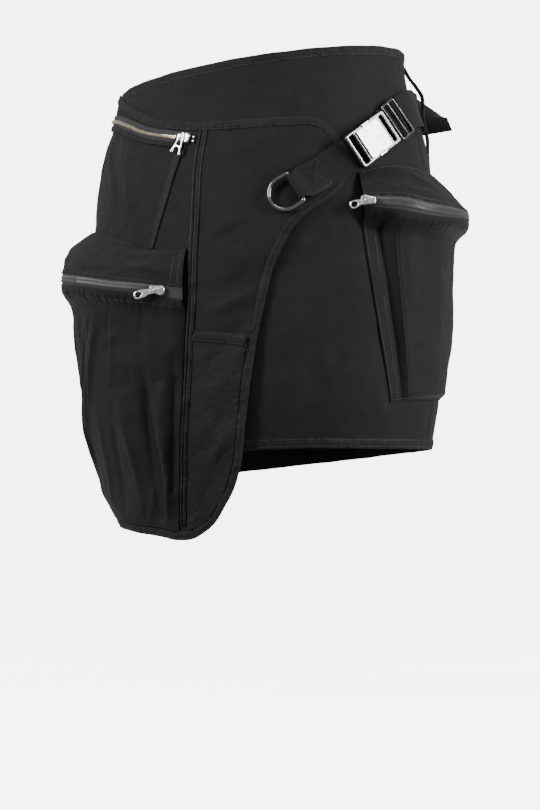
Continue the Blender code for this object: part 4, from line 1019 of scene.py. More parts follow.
class WrapLayer:
    """The outer wrap: its panel, bindings, hem band, centre welt and patch pocket."""

    OUTLINE = (
        (-66.0, -0.0030), (-58.0, 0.0015), (-48.9, 0.0084), (-39.9, 0.0160), (-30.2, 0.0261),
        (-22.9, 0.0344), (-14.5, 0.0419), (-2.7, 0.0500), (12.9, 0.0559), (34.4, 0.0602),
        (41.6, 0.0622), (46.9, 0.0680), (51.0, 0.0814), (54.0, 0.0980), (54.6, 0.1130),
        (52.8, 0.1255), (49.2, 0.1365), (44.5, 0.1450), (39.4, 0.1530), (35.4, 0.1630),
        (32.3, 0.1760), (29.8, 0.1910), (27.5, 0.2080), (25.2, 0.2340), (23.0, 0.2620),
        (21.0, 0.2940), (19.2, 0.3270), (17.8, 0.3600), (16.4, 0.3860), (13.8, 0.4090),
        (10.3, 0.4260), (5.4, 0.4420), (-2.0, 0.4525), (-10.0, 0.4530), (-17.0, 0.4480),
        (-27.5, 0.4430), (-42.0, 0.4365), (-54.0, 0.4320), (-64.0, 0.4270), (-73.0, 0.4180),
        (-80.0, 0.4020), (-85.0, 0.3780), (-89.0, 0.3450), (-91.2, 0.3050),
    )
    WELT = (
        (3.2, 0.0590), (1.5, 0.0990), (1.6, 0.1580), (1.5, 0.2160), (0.7, 0.2540), (-1.4, 0.3200),
        (-4.0, 0.3675), (-6.0, 0.4150), (-6.8, 0.4450),
    )
    PATCH_TOP = ((3.4, 0.2560), (12.0, 0.2610), (21.5, 0.2675))

    def __init__(self) -> None:
        self.outline = Line.through(self.OUTLINE)
        self.seam = self.outline.offset(BAND_WIDTH - 0.0022, 900)
        self.tip = self.outline.share_near(54.6, 0.1130)
        self.notch = self.outline.share_near(16.0, 0.3900)
        self.front_corner = self.outline.share_near(11.5, 0.4200)
        self.side_corner = self.outline.share_near(-73.0, 0.4180)
        self.stitches = Stitching(102)

    def panel(self) -> None:
        """The wrap's cloth."""
        start = self.outline.share_near(-59.0, 0.001)
        waist = Line.through(((RIGHT_SEAM + 0.6, 0.0092), (-80.0, 0.0090), (-70.0, 0.0088)))
        top = joined(waist, self.seam.part(start, self.tip))
        right = self.seam.part(self.tip, self.front_corner)
        bottom = self.seam.part(self.side_corner, self.front_corner)
        side = Line.through(((RIGHT_SEAM + 0.6, 0.0092), (RIGHT_SEAM + 0.6, 0.2960)))
        left = joined(side, self.seam.part(0.975, self.side_corner))

        def surface(u: Array, v: Array) -> tuple[Array, Array, Array]:
            phi, drop = coons(top, bottom, left, right, u, v)
            edge = np.minimum(np.minimum(v * 0.40, (1.0 - v) * 0.40), (1.0 - u) * 0.30)
            along = np.where(edge == (1.0 - u) * 0.30, v * 0.45, u * 0.40)
            pucker = 0.00030 * PUCKER(along) * np.exp(-(((edge - 0.004) / 0.006) ** 2))
            return phi, drop, Layers.wrap_outer(phi, drop) + pucker

        piece = Maker.shell("wrap_cloth", surface, 190, 210, Shop.material(Finish.TWILL))
        Shop.fit(piece, Finish.TWILL, "wrap_panel")

    def bands(self) -> None:
        """The bindings and the hem band round the wrap's cut edge."""
        place = along_line(self.outline, Layers.wrap_bed)
        gap = 0.0002 / self.outline.length
        stretches = (
            ("wrap_top_binding", 0.0, self.tip - gap, (0.0070,), 0.0),
            ("wrap_edge_binding", self.tip + gap, self.notch - gap, (0.0022, 0.0070), 0.0),
            ("wrap_hem_band", self.notch + gap, 0.980, (0.0020, 0.0070), 0.0006),
        )
        for seed, (name, start, end, rows, wider) in enumerate(stretches):
            section = band_section(BAND_WIDTH + wider, 0.0, BAND_RISE, rows)
            count = int((end - start) * self.outline.length / 0.0021)
            piece = Maker.strip(name + "_cloth", place, section, np.linspace(start, end, count),
                                Shop.material(Finish.BINDING), rough=0.00034,
                                length=self.outline.length, seed=5 + seed)
            Shop.fit(piece, Finish.BINDING, name)
            for row in rows:
                self.stitches.row(place, self.outline.length, row, BAND_RISE - 0.00004, start, end)
        bar = self.outline.share_near(-2.7, 0.0500)
        for across in np.linspace(0.0012, 0.0070, 7):
            self.stitches.row(place, self.outline.length, across, BAND_RISE + 0.0001,
                              bar - 0.0016, bar + 0.0016)

    def welt(self) -> None:
        """The raised double welt down the front."""
        line = Line.through(self.WELT)
        place = along_line(line, Layers.wrap_outer)
        half = 0.0045
        section = np.array((
            (-half, 0.0000), (-half, 0.0008), (-0.0040, 0.0016), (-0.0030, 0.0024), (-0.0020, 0.0027),
            (-0.0010, 0.0022), (-0.0003, 0.0011), (0.0003, 0.0011), (0.0010, 0.0022), (0.0020, 0.0028),
            (0.0031, 0.0025), (0.0040, 0.0015), (half, 0.0007), (half, 0.0000),
        ))
        piece = Maker.strip("welt_cloth", place, section, np.linspace(0.004, 0.985, 190),
                            Shop.material(Finish.BINDING), rough=0.00022, length=line.length, seed=9,
                            narrow=(1.0, 0.74))
        Shop.fit(piece, Finish.BINDING, "centre_welt")
        self.stitches.row(place, line.length, lambda s: -0.0040 * mix(1.0, 0.74, s), 0.0016, 0.01, 0.98)
        self.stitches.row(place, line.length, lambda s: 0.0040 * mix(1.0, 0.74, s), 0.0016, 0.01, 0.98)
        self.stitches.row(place, line.length, 0.0, 0.0013, 0.01, 0.98)

    def patch(self) -> None:
        """The low patch pocket and its stitched top hem."""
        beside = Line.through(self.WELT).offset(-0.0047)
        clear = self.outline.offset(BAND_WIDTH + 0.0004, 900)
        right = clear.part(clear.share_near(*self.PATCH_TOP[-1]), self.front_corner)
        left = beside.part(beside.share_near(*self.PATCH_TOP[0]), 0.975)
        bottom = clear.part(clear.share_near(-5.4, 0.4444), self.front_corner)
        left = Line(np.concatenate([left.points, [bottom.at(0)]]))
        middle = Line.through(self.PATCH_TOP).points[5:-5]
        top = Line(np.concatenate([[left.at(0)], middle, [right.at(0)]]))
        folds = (
            Fold(1.0, 0.420, 13.0, 0.366, -0.0010, 0.0060, 0.004),
            Fold(3.0, 0.300, 9.0, 0.330, 0.0005, 0.0070),
            Fold(-1.0, 0.420, -2.5, 0.440, 0.0008, 0.0030),
            Fold(8.0, 0.300, 7.0, 0.390, 0.0004, 0.0100),
        )

        def surface(u: Array, v: Array) -> tuple[Array, Array, Array]:
            phi, drop = coons(top, bottom, left, right, u, v)
            pucker = 0.00025 * PUCKER(v * 0.19) * np.exp(-(((1.0 - u) * 0.09 / 0.006) ** 2))
            fine = relief(folds, phi, drop) + wander(phi, drop, 0.00010, 0.00012) + pucker
            return phi, drop, Layers.wrap_outer(phi, drop) + 0.0015 + np.maximum(fine, -0.0005)

        piece = Maker.shell("patch_cloth", surface, 70, 130, Shop.material(Finish.PATCH))
        Shop.fit(piece, Finish.PATCH, "wrap_patch")
        hem = top.part(0.0, 1.0)
        place = along_line(hem, Layers.wrap_outer)
        section = band_section(0.0100, 0.0006, 0.0026, (0.0020, 0.0086))
        piece = Maker.strip("patch_hem_cloth", place, section, np.linspace(0.004, 0.996, 46),
                            Shop.material(Finish.PATCH), rough=0.00016, length=hem.length, seed=11)
        Shop.fit(piece, Finish.PATCH, "patch_hem")
        for row in (0.0020, 0.0086):
            self.stitches.row(place, hem.length, row, 0.0026, 0.01, 0.99)

    def build(self) -> None:
        """Makes the layer."""
        self.panel()
        self.bands()
        self.welt()
        self.patch()
        self.stitches.finish("wrap_stitching")


class Slider:
    """A zip slider with its crown, seen from outside, and the hinge that its pull hangs from."""

    HINGE_HEIGHT = 0.00415

    def __init__(self, name: str, seat: Matrix, arch_turn: float) -> None:
        self.name, self.seat = name, seat
        self.turned = seat @ Matrix.Rotation(math.radians(arch_turn), 4, "Z")
        self.hinge = self.turned @ Matrix.Translation((0.0, 0.0, self.HINGE_HEIGHT))

    def build(self) -> None:
        """Makes the slider's plates and crown."""
        metal = Shop.material(Finish.SILVER)
        outline = rounded(
            ((-0.0068, -0.0029), (-0.0010, -0.0037), (0.0040, -0.0047), (0.0068, -0.0034), (0.0074, 0.0),
             (0.0068, 0.0034), (0.0040, 0.0047), (-0.0010, 0.0037), (-0.0068, 0.0029)), 0.0007)
        node = self.name
        top = Maker.plate(node + "_top", (outline,), 0.0013, metal, self.seat, 0.0005, 0.0016)
        Shop.fit(top, Finish.SILVER, node)
        low = Maker.plate(node + "_base", (outline,), 0.0010, metal, self.seat, 0.0003, 0.0)
        Shop.fit(low, Finish.SILVER)
        crown = [(-0.0048, 0.0, 0.0024)]
        for turn in np.linspace(180.0, 0.0, 15):
            swing = math.radians(turn)
            crown.append((0.0044 * math.cos(swing), 0.0, 0.0036 + 0.0029 * math.sin(swing)))
        crown.append((0.0048, 0.0, 0.0024))
        arch = Maker.wire(node + "_crown", crown, 0.00075, metal, self.turned, closed=False)
        Shop.fit(arch, Finish.SILVER)


def ring_pull(node: str, hinge: Matrix, body: str, length: float) -> None:
    """A waisted pull tab with a ring at its free end, running along -X from its hinge."""
    metal = Shop.material(Finish.SILVER)
    wide, neck = 0.0040, 0.0027
    outline = rounded(
        ((0.0008, -neck), (0.0008, neck), (-0.0085, neck), (-0.0130, wide), (-length, wide),
         (-length, -wide), (-0.0130, -wide), (-0.0085, -neck)),
        (0.0005, 0.0005, 0.005, 0.003, 0.0037, 0.0037, 0.003, 0.005))
    slot = box_outline(-0.0062, -0.0008, -0.0016, 0.0016, 0.0006)
    middle = -length + 0.0046
    turns = np.linspace(0.0, 2.0 * math.pi, 33)[:-1]
    hole = [(middle + 0.0033 * math.cos(t), 0.0025 * math.sin(t)) for t in turns]
    tab = Maker.plate(node + "_tab", (outline, slot, hole), 0.0013, metal, hinge, 0.00045, -0.00065)
    Shop.fit(tab, Finish.SILVER, node, body=body)
    rim = [(middle + 0.0039 * math.cos(t), 0.0032 * math.sin(t), 0.0004) for t in turns]
    ring = Maker.wire(node + "_rim", rim, 0.0006, metal, hinge)
    Shop.fit(ring, Finish.SILVER, body=body)


class Coil:
    """A closed coil zip on its tape."""

    PITCH = 0.0014

    def __init__(self, name: str, place: Place, length: float, start: float, end: float) -> None:
        self.name, self.place, self.length = name, place, length
        self.start, self.end = start, end

    def build(self) -> bpy.types.Object:
        """Makes its ridges, each one turn of the two coils, as one piece."""
        number = int(self.length * (self.end - self.start) / self.PITCH)
        share = self.start + (self.end - self.start) * (np.arange(number) + 0.5) / number
        profile = ((-0.0034, 0.0011), (-0.0031, 0.0018), (-0.0017, 0.0023), (-0.0003, 0.0018),
                   (0.0003, 0.0018), (0.0017, 0.0023), (0.0031, 0.0018), (0.0034, 0.0011))
        half = 0.42 * self.PITCH / self.length
        rings = []
        for reach, rise in ((-1.0, -0.0005), (-0.45, 0.0002), (0.45, 0.0002), (1.0, -0.0005)):
            for across, lift in profile:
                slant = 0.35 * half * np.sign(across)
                rings.append(self.place(share + reach * half + slant, np.full(number, across),
                                        np.full(number, lift + rise)))
        points = np.stack(rings, 1).reshape(-1, 3)
        template = np.array(Maker.quads(4, len(profile)))
        faces = (template[None] + (np.arange(number) * 32)[:, None, None]).reshape(-1, 4)
        return Maker.mesh(self.name, points, faces.tolist(), None, Shop.material(Finish.COIL), 60.0)


class WaistZip:
    """The slanted metal zip on the wrap, its slider, wire pull and the ribbon tied to it."""

    LINE = (
        (-86.0, 0.0230), (-66.8, 0.0240), (-48.0, 0.0300), (-34.4, 0.0400), (-26.6, 0.0480),
        (-20.5, 0.0535), (-15.2, 0.0577), (-10.4, 0.0611), (-6.0, 0.0640), (-1.9, 0.0668),
    )
    RIBBON = ((-6.5, 0.0800), (-9.0, 0.1045), (-11.4, 0.1330), (-13.8, 0.1610), (-14.5, 0.1688))
    PITCH = 0.0020

    def __init__(self) -> None:
        self.line = Line.through(self.LINE)
        self.place = along_line(self.line, Layers.wrap_outer)
        self.stitches = Stitching(103)

    def tape(self) -> None:
        """Both tapes, the puckered lip below them and its stitches."""
        half = 0.0060
        section = np.array(((-half, 0.0006), (-half, 0.0012), (-0.0028, 0.0015), (0.0, 0.0011),
                            (0.0028, 0.0015), (half, 0.0012), (half, 0.0006)))
        tape = Maker.strip("waist_zip_tapes", self.place, section, np.linspace(0.0, 1.0, 120),
                           Shop.material(Finish.ZIP_TAPE), rough=0.00010, length=self.line.length, seed=21)
        Shop.fit(tape, Finish.ZIP_TAPE, "waist_zip_tape")
        lip = band_section(0.0050, 0.0007, 0.0022, (0.0036,)) + (0.0044, 0.0)
        piece = Maker.strip("waist_zip_lip", self.place, lip, np.linspace(0.01, 0.97, 150),
                            Shop.material(Finish.BINDING), rough=0.00030, length=self.line.length, seed=22)
        Shop.fit(piece, Finish.BINDING)
        self.stitches.row(self.place, self.line.length, 0.0082, 0.0021, 0.015, 0.96)

    def teeth(self) -> None:
        """Two rows of metal teeth that mesh."""
        end = self.line.share_near(-7.6, 0.063)
        number = int(self.line.length * end / self.PITCH) * 2
        share = end * (np.arange(number) + 0.5) / number
        side = np.where(np.arange(number) % 2 == 0, 1.0, -1.0)
        half = 0.40 * 0.5 * self.PITCH / self.line.length * 1.15
        rings = []
        for reach, across, lift in (
            (-1, -0.0003, 0.0016), (1, -0.0003, 0.0016), (1, 0.0018, 0.0016), (-1, 0.0018, 0.0016),
            (-1, -0.0003, 0.0028), (1, -0.0003, 0.0028), (1, 0.0018, 0.0024), (-1, 0.0018, 0.0024),
            (-0.50, 0.0001, 0.0033), (0.50, 0.0001, 0.0033), (0.50, 0.0015, 0.0029), (-0.50, 0.0015, 0.0029),
        ):
            rings.append(self.place(share + reach * half, across * side, np.full(number, lift)))
        points = np.stack(rings, 1).reshape(-1, 3)
        template = [(0, 1, 2, 3)]
        for low, high in ((0, 4), (4, 8)):
            template += [(low + k, low + (k + 1) % 4, high + (k + 1) % 4, high + k) for k in range(4)]
        template.append((8, 9, 10, 11))
        faces = (np.array(template)[None] + (np.arange(number) * 12)[:, None, None]).reshape(-1, 4)
        piece = Maker.mesh("waist_teeth", points, faces.tolist(), None, Shop.material(Finish.TEETH), 25.0)
        Shop.fit(piece, Finish.TEETH, "waist_zip_teeth")

    def slider(self) -> None:
        """The slider, its forked pull and the stops beyond it."""
        at = self.line.share_near(-4.3, 0.0652)
        seat = frame_of(self.place, at, 0.0018)
        slider = Slider("waist_zip_slider", seat, 76.0)
        slider.build()
        metal = Shop.material(Finish.SILVER)
        legs = ((0.0008, -0.0026), (0.0008, 0.0026), (-0.0150, 0.0056), (-0.0158, 0.0040),
                (-0.0120, 0.0030), (-0.0108, 0.0010), (-0.0108, -0.0010), (-0.0120, -0.0030),
                (-0.0158, -0.0040), (-0.0150, -0.0056))
        window = ((-0.0008, -0.0014), (-0.0008, 0.0014), (-0.0086, 0.0028), (-0.0086, -0.0028))
        pull = Maker.plate("waist_zip_fork", (rounded(legs, 0.0004), rounded(window, 0.0004)), 0.0014,
                           metal, slider.hinge, 0.0004, -0.0007)
        Shop.fit(pull, Finish.SILVER, "waist_zip_pull")
        for end, side in (("left", -1.0), ("right", 1.0)):
            eye = [(-0.0158 + 0.0012 * math.cos(t), side * 0.0049 + 0.0012 * math.sin(t), 0.0)
                   for t in np.linspace(0.0, 2.0 * math.pi, 17)[:-1]]
            ring = Maker.wire("waist_zip_eye_" + end, eye, 0.0005, metal, slider.hinge)
            Shop.fit(ring, Finish.SILVER)
        stops = Maker.studs("waist_zip_stops", ((0.0115, 0.0016, -0.0003, 0.0013, 0.0016),
                                                (0.0118, -0.0024, -0.0003, 0.0014, 0.0016)), metal, seat)
        Shop.fit(stops, Finish.SILVER)

    def ribbon(self) -> None:
        """The ribbon that is tied to the pull and sewn in under the front pocket's hood."""
        line = Line.through(self.RIBBON)
        place = along_line(line, Layers.wrap_outer)
        section = np.array((
            (-0.0048, 0.0004), (-0.0048, 0.0011), (-0.0042, 0.0015), (-0.0020, 0.0013), (0.0, 0.0014),
            (0.0020, 0.0013), (0.0042, 0.0015), (0.0048, 0.0011), (0.0048, 0.0004),
        ))
        piece = Maker.strip("ribbon_cloth", place, section, np.linspace(0.0, 1.0, 60),
                            Shop.material(Finish.RIBBON), rough=0.00012, length=line.length, seed=23,
                            narrow=(1.0, 0.75))
        Shop.fit(piece, Finish.RIBBON, "pull_tape")

    def build(self) -> None:
        """Makes the zip."""
        self.tape()
        self.teeth()
        self.slider()
        self.ribbon()
        self.stitches.finish("waist_zip_stitching")


class ZipBand:
    """A cargo pocket's zip: where it runs, and the pieces along it."""

    def __init__(self, top: Smooth, low: Smooth, out: Smooth, ends: Pair,
                 backing: Callable[[Array, Array], Array], length: float) -> None:
        self.top, self.low, self.out, self.ends = top, low, out, ends
        self.backing, self.length = backing, length

    def place(self, share: Array, across: Array, lift: Array) -> Array:
        """Points on the zip: across is metres from its middle, downwards."""
        phi = mix(*self.ends, np.asarray(share))
        middle, half = 0.5 * (self.top(phi) + self.low(phi)), 0.5 * (self.low(phi) - self.top(phi))
        drop = middle + np.asarray(across) / 0.0055 * half
        return form_point(phi, drop, self.backing(phi, middle) + self.out(phi) + lift)

    def build(self, name: str, start: float, end: float, seed: int) -> None:
        """Makes the tapes and the coil between two shares."""
        section = np.array(((-0.0056, 0.0), (-0.0056, 0.0010), (-0.0030, 0.0013), (0.0, 0.0010),
                            (0.0030, 0.0013), (0.0056, 0.0010), (0.0056, 0.0)))
        tape = Maker.strip(name + "_tapes", self.place, section, np.linspace(0.0, 1.0, 150),
                           Shop.material(Finish.ZIP_TAPE), rough=0.00012, length=self.length, seed=seed)
        Shop.fit(tape, Finish.ZIP_TAPE, name)
        coil = Coil(name + "_coil", self.place, self.length, start, end).build()
        Shop.fit(coil, Finish.COIL)


class FrontPocket:
    """The big front cargo pocket: hood, zip, bag, slider and pull."""

    LEFT, RIGHT = -84.0, -0.6
    HOOD_TOP = Smooth(
        (-84.0, 0.1320), (-62.5, 0.1370), (-44.0, 0.1440), (-26.0, 0.1570), (-16.0, 0.1690),
        (-8.6, 0.1730), (-0.5, 0.1745),
    )
    ZIP_TOP = Smooth(
        (-84.0, 0.1740), (-62.2, 0.1775), (-34.7, 0.1884), (-22.0, 0.1971), (-12.5, 0.2030),
        (-5.2, 0.2089), (-0.5, 0.2125),
    )
    ZIP_LOW = Smooth(
        (-84.0, 0.1850), (-63.8, 0.1890), (-31.3, 0.2024), (-19.1, 0.2104), (-10.6, 0.2158),
        (-4.8, 0.2215), (-0.5, 0.2250),
    )
    ZIP_OUT = Smooth(
        (-84.0, 0.0020), (-78.0, 0.0120), (-70.0, 0.0220), (-62.0, 0.0260), (-34.0, 0.0262),
        (-22.0, 0.0240), (-12.5, 0.0185), (-5.2, 0.0100), (-0.5, 0.0065),
    )
    BAG_OUT = Smooth(
        (0.185, 0.0250), (0.200, 0.0235), (0.215, 0.0170), (0.232, 0.0140), (0.280, 0.0105),
        (0.330, 0.0070), (0.360, 0.0050), (0.385, 0.0035), (0.430, 0.0022),
    )
    PROFILE = Smooth(
        (0.00, 0.00), (0.08, 0.35), (0.20, 0.88), (0.30, 1.00), (0.60, 1.05), (0.80, 0.95),
        (0.91, 0.75), (0.97, 0.42), (1.00, 0.02),
    )
    BAG_LEFT = (
        (-84.0, 0.1856), (-84.0, 0.2500), (-83.0, 0.3200), (-79.5, 0.3650), (-73.0, 0.3980),
        (-64.0, 0.4160),
    )
    FOLDS = (
        Fold(-33.0, 0.222, -62.0, 0.385, 0.0036, 0.0060),
        Fold(-43.0, 0.215, -70.0, 0.370, -0.0030, 0.0100),
        Fold(-15.4, 0.285, -14.4, 0.436, -0.0062, 0.0070),
        Fold(-8.5, 0.300, -12.0, 0.432, 0.0048, 0.0075),
        Fold(-3.4, 0.270, -9.0, 0.410, -0.0040, 0.0045),
        Fold(-24.0, 0.300, -25.0, 0.430, 0.0032, 0.0120),
    )
    FINE_FOLDS = (
        Fold(-20.0, 0.238, -19.0, 0.330, -0.0009, 0.0050, 0.003),
        Fold(-27.0, 0.232, -30.0, 0.300, 0.0008, 0.0045, -0.003, 0.3),
        Fold(-10.0, 0.232, -11.0, 0.300, 0.0008, 0.0040, 0.002),
        Fold(-48.0, 0.225, -52.0, 0.300, 0.0010, 0.0060, 0.004),
        Fold(-58.0, 0.215, -66.0, 0.290, -0.0012, 0.0070, -0.004),
        Fold(-30.0, 0.330, -34.0, 0.428, -0.0010, 0.0060, 0.003),
        Fold(-41.0, 0.330, -46.0, 0.420, 0.0010, 0.0065, -0.004),
        Fold(-52.0, 0.340, -55.0, 0.412, -0.0008, 0.0060),
        Fold(-9.5, 0.392, -12.5, 0.436, 0.0012, 0.0028, 0.001),
        Fold(-17.0, 0.398, -21.0, 0.434, 0.0010, 0.0035, -0.002),
        Fold(-6.0, 0.330, -10.5, 0.380, 0.0009, 0.0030),
        Fold(-12.5, 0.350, -16.5, 0.300, 0.0007, 0.0035),
        Fold(-22.0, 0.250, -34.0, 0.262, 0.0006, 0.0050, 0.003),
        Fold(-15.2, 0.296, -14.6, 0.438, -0.0024, 0.0028, 0.001, 0.4),
        Fold(-4.4, 0.296, -10.0, 0.414, -0.0022, 0.0026, -0.001, -0.4),
        Fold(-43.0, 0.234, -57.0, 0.376, 0.0019, 0.0030, 0.003, 0.4),
        Fold(-34.0, 0.236, -46.0, 0.318, 0.0014, 0.0028, 0.001, -0.4),
        Fold(-38.5, 0.224, -43.0, 0.264, 0.0009, 0.0022),
        Fold(-28.0, 0.226, -29.0, 0.266, -0.0009, 0.0025),
        Fold(-13.0, 0.226, -14.5, 0.254, -0.0011, 0.0028),
        Fold(-61.0, 0.225, -67.0, 0.300, 0.0015, 0.0032, 0.001),
        Fold(-25.0, 0.335, -23.0, 0.432, 0.0012, 0.0045, -0.002),
    )
    HOOD_FOLDS = (
        Fold(-24.0, 0.1720, -8.0, 0.1850, -0.0013, 0.0028, 0.002),
        Fold(-26.0, 0.1660, -11.0, 0.1770, 0.0011, 0.0026, 0.002),
        Fold(-20.0, 0.1860, -6.0, 0.1960, 0.0011, 0.0030, -0.002),
        Fold(-46.0, 0.1530, -30.0, 0.1680, 0.0010, 0.0050, 0.003),
        Fold(-60.0, 0.1480, -44.0, 0.1560, -0.0009, 0.0050, 0.002),
        Fold(-72.0, 0.1450, -60.0, 0.1560, 0.0012, 0.0050),
        Fold(-38.0, 0.1800, -22.0, 0.1880, -0.0008, 0.0035, 0.002),
        Fold(-66.0, 0.1640, -50.0, 0.1700, 0.0008, 0.0045, -0.002),
    )

    def __init__(self, wrap: WrapLayer) -> None:
        self.wrap = wrap
        self.stitches = Stitching(104)
        ends = (self.LEFT, self.RIGHT)
        self.zip = ZipBand(self.ZIP_TOP, self.ZIP_LOW, self.ZIP_OUT, ends, self.backing, 0.2750)

    @staticmethod
    def backing(phi: Array, drop: Array) -> Array:
        """The wrap's outside, without its fine folds."""
        return Layers.wrap_bed(phi, drop) + WALL + LAY

    def hood_out(self, phi: Array, v: Array) -> Array:
        """How far the hood's outer face stands off the wrap, v down from its seam."""
        return WALL + self.ZIP_OUT(phi) * (1.0 - (1.0 - np.clip(v, 0.0, 1.0)) ** 2.8)

    def hood(self) -> None:
        """The hood over the zip, with its wrinkles and seams."""

        def surface(u: Array, v: Array) -> tuple[Array, Array, Array]:
            phi = mix(self.LEFT, self.RIGHT, u)
            top, low = self.HOOD_TOP(phi), self.ZIP_TOP(phi) + 0.0008
            v = v**1.5
            drop = mix(top, low, v)
            fade = ease(v / 0.10) * ease((1.0 - v) / 0.04)
            fine = 1.5 * relief(self.HOOD_FOLDS, phi, drop) + wander(phi, drop, 0.0005, 0.00018, 0.00003)
            near = np.exp(-((v / 0.10) ** 2)) + np.exp(-(((1 - v) / 0.12) ** 2))
            pucker = 0.00035 * PUCKER(girth(phi)) * near
            lip = 0.0007 * np.exp(-(((1.0 - v) / 0.07) ** 2))
            return phi, drop, self.backing(phi, drop) + self.hood_out(phi, v) + fine * fade + pucker + lip

        piece = Maker.shell("front_hood_cloth", surface, 190, 70, Shop.material(Finish.TWILL))
        Shop.fit(piece, Finish.TWILL, "front_pocket_hood")

    def bag_edges(self) -> tuple[Line, Line, Line, Line]:
        """The bag's top, bottom, left and right edges."""
        clear = self.wrap.outline.offset(BAND_WIDTH + 0.0006, 900)
        phi = np.linspace(self.LEFT, self.RIGHT - 0.6, 90)
        top = Line(np.stack((girth(phi), self.ZIP_LOW(phi) - 0.0004), -1))
        beside = Line.through(WrapLayer.WELT).offset(0.0049)
        right = beside.part(beside.share_near(-0.6, 0.2260), 0.970)
        bottom = clear.part(clear.share_near(*self.BAG_LEFT[-1]), clear.share_near(-8.6, 0.4440))
        left = Line.through(self.BAG_LEFT)
        left = Line(np.concatenate([left.points[:-6], [bottom.at(0)]]))
        right = Line(np.concatenate([[top.at(1)], right.points[6:], [bottom.at(1)]]))
        top = Line(np.concatenate([[left.at(0)], top.points[1:]]))
        return top, bottom, left, right

    def bag(self) -> None:
        """The bag, with its vertical folds and the facing below the zip."""
        edges = self.bag_edges()

        def surface(u: Array, v: Array) -> tuple[Array, Array, Array]:
            phi, drop = coons(*edges, u, v)
            body = self.BAG_OUT(drop) * self.PROFILE(u)
            body = body + relief(self.FOLDS, phi, drop) * ease(u / 0.15) * ease((1.0 - u) / 0.05)
            out = np.maximum(0.0, mix(self.ZIP_OUT(phi), body, ease(v / 0.09)))
            below = (drop - self.ZIP_LOW(phi)) / 0.0100
            facing = 0.0006 * ease((1.04 - below) / 0.05)
            pucker = 0.00042 * PUCKER(girth(phi), drop * 0.3) * np.exp(-(((below - 0.9) / 0.55) ** 2))
            fade = ease((1.0 - v) / 0.03) * ease(u / 0.03) * ease((1.0 - u) / 0.03) * ease((v - 0.03) / 0.05)
            fine = 1.3 * relief(self.FINE_FOLDS, phi, drop) + wander(phi, drop, 0.0004, 0.00012, 0.00003)
            out = np.maximum(0.0, out + fine * fade)
            return phi, drop, self.backing(phi, drop) + WALL + out + facing + pucker

        piece = Maker.shell("front_bag_cloth", surface, 190, 200, Shop.material(Finish.TWILL))
        Shop.fit(piece, Finish.TWILL, "front_pocket_bag")

    def seams(self) -> None:
        """The stitch rows of the hood, its end and the facing."""
        phi = np.linspace(self.LEFT + 2.0, self.RIGHT - 1.0, 60)

        def hood_face(at: Array, drop: Array) -> Array:
            v = (drop - self.HOOD_TOP(at)) / (self.ZIP_TOP(at) - self.HOOD_TOP(at))
            return self.backing(at, drop) + self.hood_out(at, v)

        lines = [Line(np.stack((girth(phi), self.HOOD_TOP(phi) + 0.0022), -1))]
        for side in (-1.9, -4.0):
            lines.append(Line.through(((side, 0.1765), (side, float(self.ZIP_TOP(side)) - 0.0030))))
        for line in lines:
            self.stitches.row(along_line(line, hood_face), line.length, 0.0, 0.0003)
        self.stitches.row(self.zip.place, self.zip.length, -0.0066, 0.0017, 0.01, 0.985)
        facing = Line(np.stack((girth(phi), self.ZIP_LOW(phi) + 0.0092), -1))

        def bag_face(at: Array, drop: Array) -> Array:
            u = (girth(at) - girth(self.LEFT)) / (girth(self.RIGHT) - girth(self.LEFT))
            v = (drop - self.ZIP_LOW(at)) / 0.232
            body = self.BAG_OUT(drop) * self.PROFILE(u)
            return self.backing(at, drop) + WALL + mix(self.ZIP_OUT(at), body, ease(v / 0.09)) + 0.0005

        self.stitches.row(along_line(facing, bag_face), facing.length, 0.0, 0.0002, 0.03, 0.97)

    def build(self) -> None:
        """Makes the pocket."""
        self.hood()
        self.bag()
        self.zip.build("front_pocket_zip", 0.02, 0.925, 31)
        seat = frame_of(self.zip.place, 0.918, 0.0030)
        slider = Slider("front_pocket_slider", seat, 26.0)
        slider.build()
        ring_pull("front_pocket_pull", slider.hinge, "front_pull", 0.0230)
        self.seams()
        self.stitches.finish("front_pocket_stitching")


